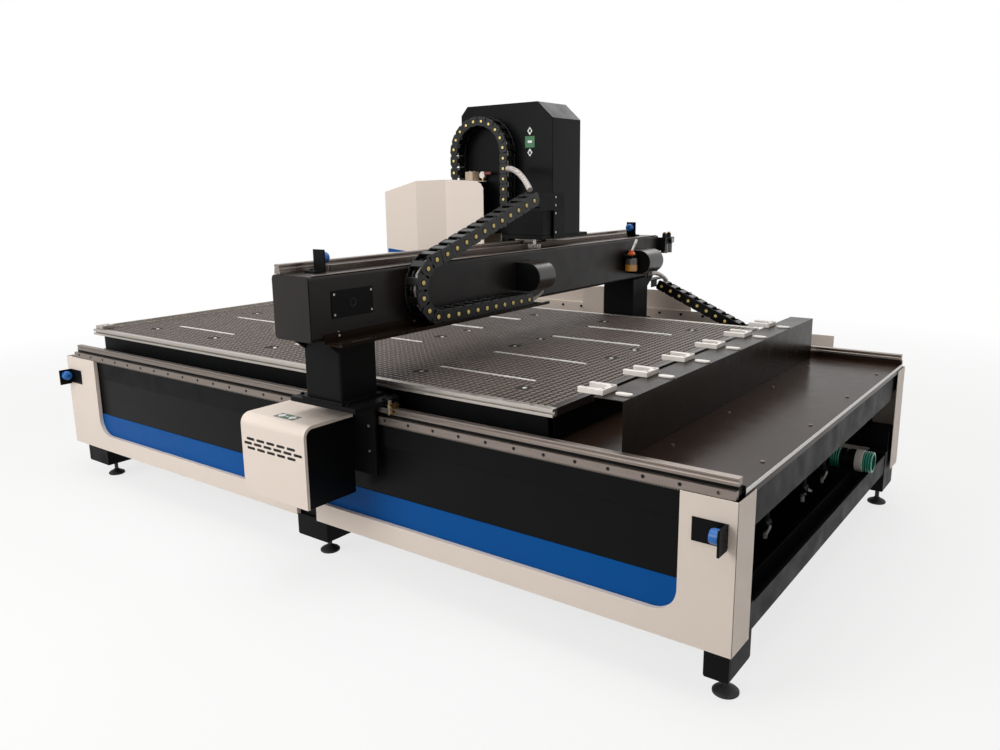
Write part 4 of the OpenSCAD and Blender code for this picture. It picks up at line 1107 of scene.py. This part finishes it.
class MACHINE_OT_chains(Step, bpy.types.Operator):
    """Builds the three cable chains, each as two strands and a bend"""
    bl_idname = "machine.chains"
    bl_label = "Cable chains"

    def execute(self, context):
        wide_link, tower_link = link(67.8, 62, 75), link(51, 46, 76)
        self.x_chain(wide_link)
        self.y_chain(wide_link)
        self.z_chain(tower_link)
        for unit in (wide_link, tower_link):
            bpy.data.objects.remove(unit, do_unlink=True)
        return {"FINISHED"}

    def x_chain(self, unit):
        """Along the shelf behind the beam, round, and up to the carriage."""
        y, low, start_at, bend_at, r = 512.5, 1086, 108, 771, 122
        place = Matrix.Translation(at(0, y, 0))
        run = straight((start_at, low), (bend_at, low), 10)
        lower = chain_piece("x_chain_lower", unit, run, place)
        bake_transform(lower)
        bend = chain_piece("x_chain_bend", unit, half_turn((bend_at, low + r), r, 6), place)
        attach(bend, "x_chain_bend")
        top, end = Vector((767, 1334)), Vector((66, 1558))
        upper = chain_piece("x_chain_upper", unit, straight(top, end, 11), place)
        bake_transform(upper)

    def y_chain(self, unit):
        """Along the trough beside the bed, round, and up to the end of the beam."""
        x, low, start_at, bend_at, r = -1507, 415, 30, 1250, 122
        place = Matrix.Translation(at(x, 0, 0)) @ Matrix.Rotation(pi / 2, 4, "Z")
        run = straight((start_at, low), (bend_at, low), 18)
        lower = chain_piece("y_chain_lower", unit, run, place)
        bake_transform(lower)
        bend = chain_piece("y_chain_bend", unit, half_turn((bend_at, low + r), r, 6), place)
        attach(bend, "y_chain_bend")
        top, foot = (430, 994), (1246, 659)
        run = straight(top, (980, 752), 9) + straight((984, 750), foot, 4)
        upper = chain_piece("y_chain_upper", unit, run, place)
        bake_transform(upper)

    def z_chain(self, unit):
        """Up the tower's side, over, and down to the head."""
        x, y, top, r = -148, 55, 1782, 162
        turn = Matrix.Rotation(pi / 2, 4, "Z") @ Matrix.Rotation(-pi / 2, 4, "Y")
        place = Matrix.Translation(at(x, y, top)) @ turn
        fixed = chain_piece("z_chain_fixed", unit, straight((-2, -r), (-359, -r), 7), place)
        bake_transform(fixed)
        bend = chain_piece("z_chain_bend", unit, half_turn((0, 0), r, 10), place)
        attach(bend, "z_chain_bend")
        moving = chain_piece("z_chain_moving", unit, straight((-2, r), (-124, r), 2), place)
        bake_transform(moving)


# ---- gantry --------------------------------------------------------------------------------

class MACHINE_OT_bridge(Step, bpy.types.Operator):
    """Builds the beam, its legs, rails, shelf and end details"""
    bl_idname = "machine.bridge"
    bl_label = "Bridge beam"

    def execute(self, context):
        beam = [plate(rounded(BEAM_Y0, BEAM_Y1, BEAM_Z0, BEAM_Z1, 16), "X", -BEAM_END, BEAM_END, 0)]
        cap = rounded(BEAM_Y0 + 3, BEAM_Y1 - 3, BEAM_Z0 + 3, BEAM_Z1 - 3, 14)
        beam += both([plate(cap, "X", BEAM_END, BEAM_END + 4, 1.5, 2)])
        piece("beam_tube", beam, "gantry", "beam", "beam enamel")
        self.access()
        self.legs()
        self.rails()
        self.shelf()
        self.drums()
        return {"FINISHED"}

    def access(self):
        """A screwed plate near the beam's end, with a cup in its middle painted black as the shade of its
        hole.
        """
        x, y, z = 1197, BEAM_Y1 + 3.3, 1193
        cover = plate(rounded(1090, 1304, 1141, 1245, 6), "Y", BEAM_Y1 + 0.2, y, 1.0, 2)
        dish = [(14, 0), (17, 0), (17, 1.6), (12, 1.6), (12, -2), (0, -2), (0, -3), (14, -3)]
        cup = lathe(dish, (x, y, z), "Y", 24)
        heads = bolts([(x + 95 * a, y, z + 38.5 * b) for a in SIDES for b in SIDES], (0, 1, 0), 4.5, 2.5)
        heads += bolts([(1276, BEAM_Y1, 1088)], (0, 1, 0), 5, 3)
        parts = paint([cover], "black powder coat") + paint([cup], "painted hollow shade")
        parts += paint(heads, "zinc plated steel")
        piece("access_cover", parts, "gantry", "access_plate")

    def legs(self):
        """The square columns, their foot plates, gussets and drive plates, and the chain's bracket."""
        foot, thick = 803, 12
        parts = [block((1082, 258, foot), (1277, BEAM_Y1, BEAM_Z0), 10, 3),
                 block((1045, 175, foot - 20), (1290, 545, foot), 1.5),
                 block((1065, 246, foot), (1289, 474, foot + thick), 1.5)]
        gusset = [(1276, BEAM_Z0), (1352, BEAM_Z0), (1276, 1005)]
        parts += [plate(gusset, "Y", y, y + thick, 1) for y in (259, 447)]
        parts.append(block((1135, 225, 487), (1135 + thick, 500, 784), 1.5))
        parts += bolts([(1060 + 60 * i, y, foot) for y in (530, 190) for i in range(4)], (0, 0, 1), 8, 8)
        parts += bolts([(1270, y, foot) for y in (485, 235)], (0, 0, 1), 8, 8)
        parts = both(parts)
        parts.append(block((-1545, 385, 1026), (-1276, 445, 1032), 1))
        parts.append(block((-1545, 385, 970), (-1469, 391, 1027), 1))
        piece("gantry_columns", parts, "gantry", "gantry_legs", "black powder coat")
        heads = both(bolts([(1135 + thick, 467, z) for z in (587, 692)], (1, 0, 0), 6.5, 3))
        piece("drive_plate_bolts", heads, "gantry", finish="zinc plated steel")

    def rails(self):
        """The beam's upper rail on its seat, and the lower one on its front."""
        end = BEAM_END - 12
        parts = [plate(rail_section(258, 286, BEAM_Z1 + 10, 1342), "X", -end, end, 0),
                 block((-end, 256, BEAM_Z1 + 0.2), (end, 288, BEAM_Z1 + 10), 1),
                 plate(rounded(229, 254.8, 1082, 1110, 2, 2), "X", -end, end, 0)]
        parts += bolts([(-1360 + 120 * i, 272, 1341.6) for i in range(23)], (0, 0, 1), 5.5, 0.6)
        piece("beam_rails", parts, "gantry", "x_rails", "ground steel", 25)
        clothe("x_rack", "ground steel")

    def shelf(self):
        """The folded shelf that carries the lower run of the chain."""
        low, back, out = 1049, OFF_BEAM, 560
        outline = [(back, low), (out, low), (out, low + 14), (out - SHEET, low + 14),
                   (out - SHEET, low + SHEET), (back + SHEET, low + SHEET), (back + SHEET, low + 40),
                   (back, low + 40)]
        shelf = [plate(outline, "X", -20, 1350, 0.8, 2)]
        piece("chain_shelf", shelf, "gantry", "rear_shelf", "carrier enamel")
        # The slot is a thin black patch of painted shade on the shelf.
        slot = plate(rounded(1150, 1260, 506, 522, 8), "Z", low + SHEET + 0.05, low + SHEET + 0.4, 0)
        parts = paint([slot], "painted hollow shade")
        heads = bolts([(x, back + SHEET, 1076) for x in (60, 460, 860, 1276)], (0, 1, 0), 5, 3)
        piece("shelf_screws", parts + paint(heads, "zinc plated steel"), "gantry")

    def drums(self):
        """Two rolled covers on the beam, each with a black cap at both ends."""
        parts, cap, r = [], 4, 68
        for x0, x1, z in ((-20, 125, 1190), (-1200, -1020, 1172)):
            outline = [(OFF_BEAM, z - r), *arc(530, z, r, -90, 180, 20), (OFF_BEAM, z + r)]
            # The rolled sheet's lighter brown tone is partly painted sheen.
            parts += paint([plate(outline, "X", x0 + cap, x1 - cap, 0.8)], "drum enamel sheen")
            # The caps are a little shallower, so that the rolled sheet stands over them.
            inset = [(OFF_BEAM + (u - OFF_BEAM) * 0.992, v) for u, v in outline]
            for x in (x0, x1 - cap):
                parts += paint([plate(inset, "X", x, x + cap, 1.2, 2)], "black nylon")
        piece("drum_covers", parts, "gantry", "cable_drums")


HOOD_IN, HOOD_OUT, HOOD_LOW, HOOD_TOP, HOOD_ROUND = 1147.5, 1404, 395, 729, 45


def hood_line(inset):
    """The drive hood's outline, set in from its outside, from the top's inner end to the side's foot."""
    u, v = HOOD_OUT - HOOD_ROUND, HOOD_TOP - HOOD_ROUND
    corner = arc(u, v, HOOD_ROUND - inset, 90, -90, 10)
    return [(HOOD_IN, HOOD_TOP - inset), *corner, (HOOD_OUT - inset, HOOD_LOW)]


class MACHINE_OT_drives(Step, bpy.types.Operator):
    """Builds the drive covers, motors, slider blocks and beam buffers"""
    bl_idname = "machine.drives"
    bl_label = "Gantry drives"

    def execute(self, context):
        self.covers()
        clothe("y_motors", "black painted casting")
        clothe("y_pinions", "turned steel")
        self.sliders()
        self.buffers()
        self.air()
        self.pump()
        return {"FINISHED"}

    def covers(self):
        outer, inner, lip = (hood_line(inset) for inset in (0, 5, 13))
        shell = [plate(outer + inner[::-1], "Y", -8, 378, 1.2, 2)]
        # A narrow folded edge at both ends holds the black cap.
        shell += [plate(outer + lip[::-1], "Y", y, y + 2, 0.6) for y in (-8, 376)]
        shell.append(block((HOOD_OUT - 18, 356, HOOD_LOW), (HOOD_OUT - 0.5, 374, HOOD_LOW + 3), 0.5))
        piece("drive_hoods", both(shell), "gantry", "drive_covers", "cream enamel")
        self.vents()
        full = [(HOOD_IN, HOOD_LOW), *inner]
        caps = [plate(full, "Y", 372, 375.6, 0.4, 1), plate(full, "Y", -5.6, -2, 0.4, 1)]
        piece("drive_caps", both(caps), "gantry", "drive_end_caps", "black sheet enamel")
        self.sign()

    def vents(self):
        """Three rows of round-ended slots drawn as flat patches of painted shade on the hood's face, six in
        the middle row and five in the others.
        """
        slots = []
        for row, (count, start, pitch) in enumerate(((5, 26, 62), (6, 8, 61), (5, 26, 62))):
            z = 625 - row * 19.5
            for i in range(count):
                y = start + i * pitch
                outline = rounded(y, y + 49, z, z + 11, 5.3, 4)
                slots.append(plate(outline, "X", HOOD_OUT - 0.2, HOOD_OUT + 0.2, 0))
        piece("drive_vents", both(slots), "gantry", finish="painted hollow shade")

    def sign(self):
        """A plate on the hood with a bar between two diamonds."""
        x, z = 1330, HOOD_TOP + 1.2
        parts = paint([block((x - 26, 140, HOOD_TOP), (x + 26, 256, z), 0.6)], "sign film grey")
        parts += paint([block((x - 22, 187, z), (x + 22, 209, z + 0.3), 0)], "sign print green")
        marks = []
        for y in (166, 230):
            marks.append(plate([(x, y + 19), (x + 22, y), (x, y - 19), (x - 22, y)], "Z", z, z + 0.4, 0))
        marks.append(block((x - 4, 192, z + 0.3), (x + 4, 204, z + 0.5), 0))
        piece("drive_sign", parts + paint(marks, "sign print white"), "gantry")

    def sliders(self):
        """Two blocks on each rail, with a scraper at both ends of each."""
        parts, low, top = [], 749, 782.6
        for y in (165, 455):
            parts.append(block((1063, y, low), (1078.4, y + 100, top), 1.5))
            parts.append(block((1107.6, y, low), (1123, y + 100, top), 1.5))
            parts.append(block((1063, y, 768.2), (1123, y + 100, top + 0.1), 1.5))
            parts += [block((1064, end, 769), (1122, end + 5, top - 1), 1) for end in (y - 0.5, y + 95.5)]
        self.slider_fittings()
        piece("y_sliders", both(parts), "gantry", "y_slider_blocks", "ground steel")

    def slider_fittings(self):
        """The rear scraper's plate with its brass grease fittings."""
        parts = paint([block((1109, 555.5, 744.5), (1127, 563, 802), 1)], "zinc plated steel")
        heads = bolts([(1118, 563, z) for z in (754, 773, 792)], (0, 1, 0), 6.5, 4)
        heads += bolts([(1074, 560, 775), (1096, 560, 775)], (0, 1, 0), 5, 3)
        piece("slider_end_fittings", both(parts + paint(heads, "brass")), "gantry")

    def buffers(self):
        """A rubber buffer on an angle at each end of the beam."""
        y0, y1, low, thick = 320, 380, BEAM_Z1 + 0.3, 8
        parts = [block((1248, y0, low), (1248 + thick, y1, low + 85), 1.5),
                 block((1255, y0, low), (1304, y1, low + thick), 1.2)]
        parts += bolts([(1280, y, low + thick) for y in (y0 + 15, y1 - 15)], (0, 0, 1), 6, 5)
        rubber = [(0, 0), (18, 0), (22, 4), (22, 26), (19, 32), (12, 35), (4, 35), (4, 20), (0, 20)]
        pad = lathe(rubber, (1248, 350, 1359), "X", 28, -1)
        parts = paint(parts, "black powder coat") + paint([pad], "buffer polyurethane")
        piece("beam_buffers", both(parts), "gantry", "x_bumpers")

    def air(self):
        """The air unit with its bowls, brass plugs and dial."""
        clothe("air_unit", "black nylon")
        y, parts = 480, []
        bowl = [(22.2, 0), (22.8, 1), (22.8, 52), (22.2, 53)]
        plug = [(0, 0), (8, 0), (9, 2), (9, 8), (0, 8)]
        for x in (-1450, -1510):
            parts += paint([lathe(bowl, (x, y, 1198), steps=28)], "oil bottle resin")
            parts += paint([lathe(plug, (x, y, 1316), steps=16)], "brass")
        dial = [(0, 0), (15.5, 0), (16.5, 0.8), (16.5, 1.6), (14, 1.6), (14, 0.6), (0, 0.6)]
        parts += paint([lathe(dial, (-1480, y + 42, 1274), "Y", 28)], "white nylon")
        piece("air_details", parts, "gantry")

    def pump(self):
        """The lubricator: a bottle under a bracket, its orange neck and its lever."""
        x, y, z = -968, 505, 1124
        bottle = lathe([(0, 0), (33, 0), (36, 3), (36, 70), (32, 76), (0, 76)], (x, y, z))
        arm = block((x - 36, OFF_BEAM, z + 76), (x + 36, y + 20, z + 94), 1.5)
        neck = lathe([(0, 94), (22, 94), (22, 104), (15, 108), (15, 120), (0, 120)], (x, y, z))
        parts = paint([bottle], "oil bottle resin") + paint([arm], "black powder coat")
        parts += paint([neck], "orange cap nylon")
        piece("oil_pump", parts, "gantry", "lubricator_pump")
        clothe("lubricator_lever", "white nylon")


# ---- carriage and head ---------------------------------------------------------------------

TOWER_X, TOWER_HALF = -327, 131.5


def tower_outline(t=0.0):
    """The tower's side view, with its top corners cut off; t sets it in."""
    front, back, top, low = -117 + t, BEAM_Y1 - t, 2028 - t, 1372.4
    # The inner line's corners keep the sheet's thickness where it turns.
    k = t * 0.4
    return [(front, low), (front, top - 45 + k), (front + 42 - k, top), (back - 90 + k, top),
            (back, top - 82 + k), (back, low)]


class MACHINE_OT_tower(Step, bpy.types.Operator):
    """Builds the tall head cover, the carriage, its sign and motor box"""
    bl_idname = "machine.tower"
    bl_label = "Carriage and tower"

    def execute(self, context):
        outer, inner = tower_outline(), tower_outline(SHEET)
        left, right = TOWER_X - TOWER_HALF, TOWER_X + TOWER_HALF
        parts = [plate(outer, "X", right - SHEET, right, 0), plate(outer, "X", left, left + SHEET, 0)]
        parts.append(plate(outer[1:] + inner[:0:-1], "X", left, right, 0))
        parts.append(block((left, -117, 1500), (right, -117 + SHEET, 1985), 0))
        piece("tower_cover", parts, "carriage", "z_cover", "black sheet enamel", 20)
        self.sign(right)
        heads = bolts([(-212, 468, z) for z in (1560, 1520, 1480, 1385)], (0, 1, 0), 5.5, 3)
        piece("tower_screws", heads, "carriage", finish="zinc plated steel")
        soft_piece("carriage_plates", "x_carriage", "carriage", "black powder coat")
        for node, finish in (("x_slider_blocks", "ground steel"), ("axis_motors", "black painted casting"),
                             ("x_pinion", "turned steel"), ("z_rails", "ground steel"),
                             ("z_screw", "turned steel")):
            clothe(node, finish)
        box = [block((-194.7, 246, 1372.3), (-110, 456, 1500), 2.5, 3)]
        piece("motor_box", box, "carriage", "x_motor_box", "black powder coat")
        return {"FINISHED"}

    def sign(self, x):
        """A green plate with a bar, and a diamond with a dark core above and below it."""
        face, marks, cores = x + 1.5, [], []
        base = paint([block((x, 296, 1806), (face, 354, 1862), 0.6)], "sign print green")
        for z in (1887, 1782):
            marks.append(plate([(325, z + 20), (340, z), (325, z - 20), (310, z)], "X", x + 0.1, x + 1.6, 0))
        for z in (1888, 1781):
            cores.append(block((face, 319, z - 7), (face + 0.4, 331, z + 7), 0))
        marks.append(block((face, 312, 1829), (face + 0.4, 338, 1841), 0))
        parts = base + paint(marks, "sign print white") + paint(cores, "black nylon")
        piece("tower_sign", parts, "carriage")


class MACHINE_OT_head(Step, bpy.types.Operator):
    """Builds the cream hood, the spindle and the fittings on the hood"""
    bl_idname = "machine.head"
    bl_label = "Head and spindle"

    def execute(self, context):
        shell = softened("hood", 0)
        # Beside the tower, the hood's upper part stops at Y 52.
        for x0, x1 in ((-549, -460), (-194, -105)):
            shell = cut_away(shell, (x0, 52, 1500), (x1, 200, 1700))
        shell = bevel(shell, 1.3, 2, 50)
        piece("spindle_hood", [shell], "head", "hood", "cream enamel", 14)
        soft_piece("slide_plate", "z_slide", "head", "black powder coat")
        clothe("spindle_body", "anodised aluminium")
        clothe("spindle_rotor", "turned steel")
        wedge = [plate([(-522, 1262), (-522, 1284), (-392, 1273), (-392, 1268)], "X", -20, -19.2, 0)]
        piece("hood_band", wedge, "head", finish="blue enamel")
        self.fittings()
        return {"FINISHED"}

    def fittings(self):
        """The air fittings on the hood: a block, a gauge, its brass stem and a red elbow."""
        side = [(-45, 1649.9), (5, 1647.5), (5, 1693), (-45, 1693)]
        parts = paint([plate(side, "X", -187, -127, 3, 3)], "gland nylon")
        parts += paint(bolts([(-175, -20, 1693), (-139, -20, 1693)], (0, 0, 1), 5, 3), "zinc plated steel")
        gauge = [(0, 0), (17, 0), (18, 1), (18, 18), (16.5, 20), (14.5, 20), (14.5, 18.5), (0, 18.5)]
        parts += paint([lathe(gauge, (-184, 38, 1675), "X", 28)], "white nylon")
        parts += paint([rod((-174, 38, 1646.2), (-174, 38, 1660), 7, 0.5, 14)], "brass")
        parts += paint([rod((-165, 57, 1683), (-165, 100, 1683), 9, 1.5, 18)], "red elbow nylon")
        piece("hood_fittings", parts, "head", "head_air_fittings")


# ---- panel and run -------------------------------------------------------------------------

OPERATORS = (MACHINE_OT_stage, MACHINE_OT_hoses, MACHINE_OT_bed_frame, MACHINE_OT_covers, MACHINE_OT_table,
             MACHINE_OT_rear, MACHINE_OT_rails, MACHINE_OT_suction, MACHINE_OT_chains, MACHINE_OT_bridge,
             MACHINE_OT_drives, MACHINE_OT_tower, MACHINE_OT_head)


class MACHINE_PT_pieces(bpy.types.Panel):
    """Lists the pieces of the machining centre"""
    bl_label = "Machining centre"
    bl_idname = "MACHINE_PT_pieces"
    bl_space_type = "VIEW_3D"
    bl_region_type = "UI"
    bl_category = "Machine"

    def draw(self, context):
        for group in (context.scene.machine_sizes, context.scene.machine_colours):
            for name in group.__annotations__:
                self.layout.prop(group, name)
        for cls in OPERATORS:
            self.layout.operator(cls.bl_idname)


CLASSES = [MachineColours, MachineSizes, *OPERATORS, MACHINE_PT_pieces]


def register():
    for cls in CLASSES:
        bpy.utils.register_class(cls)
    bpy.types.Scene.machine_colours = PointerProperty(type=MachineColours)
    bpy.types.Scene.machine_sizes = PointerProperty(type=MachineSizes)


def unregister():
    del bpy.types.Scene.machine_sizes
    del bpy.types.Scene.machine_colours
    for cls in reversed(CLASSES):
        bpy.utils.unregister_class(cls)


def main():
    register()
    for cls in OPERATORS:
        getattr(bpy.ops.machine, cls.bl_idname.split(".")[1])()


if __name__ == "__main__":
    main()
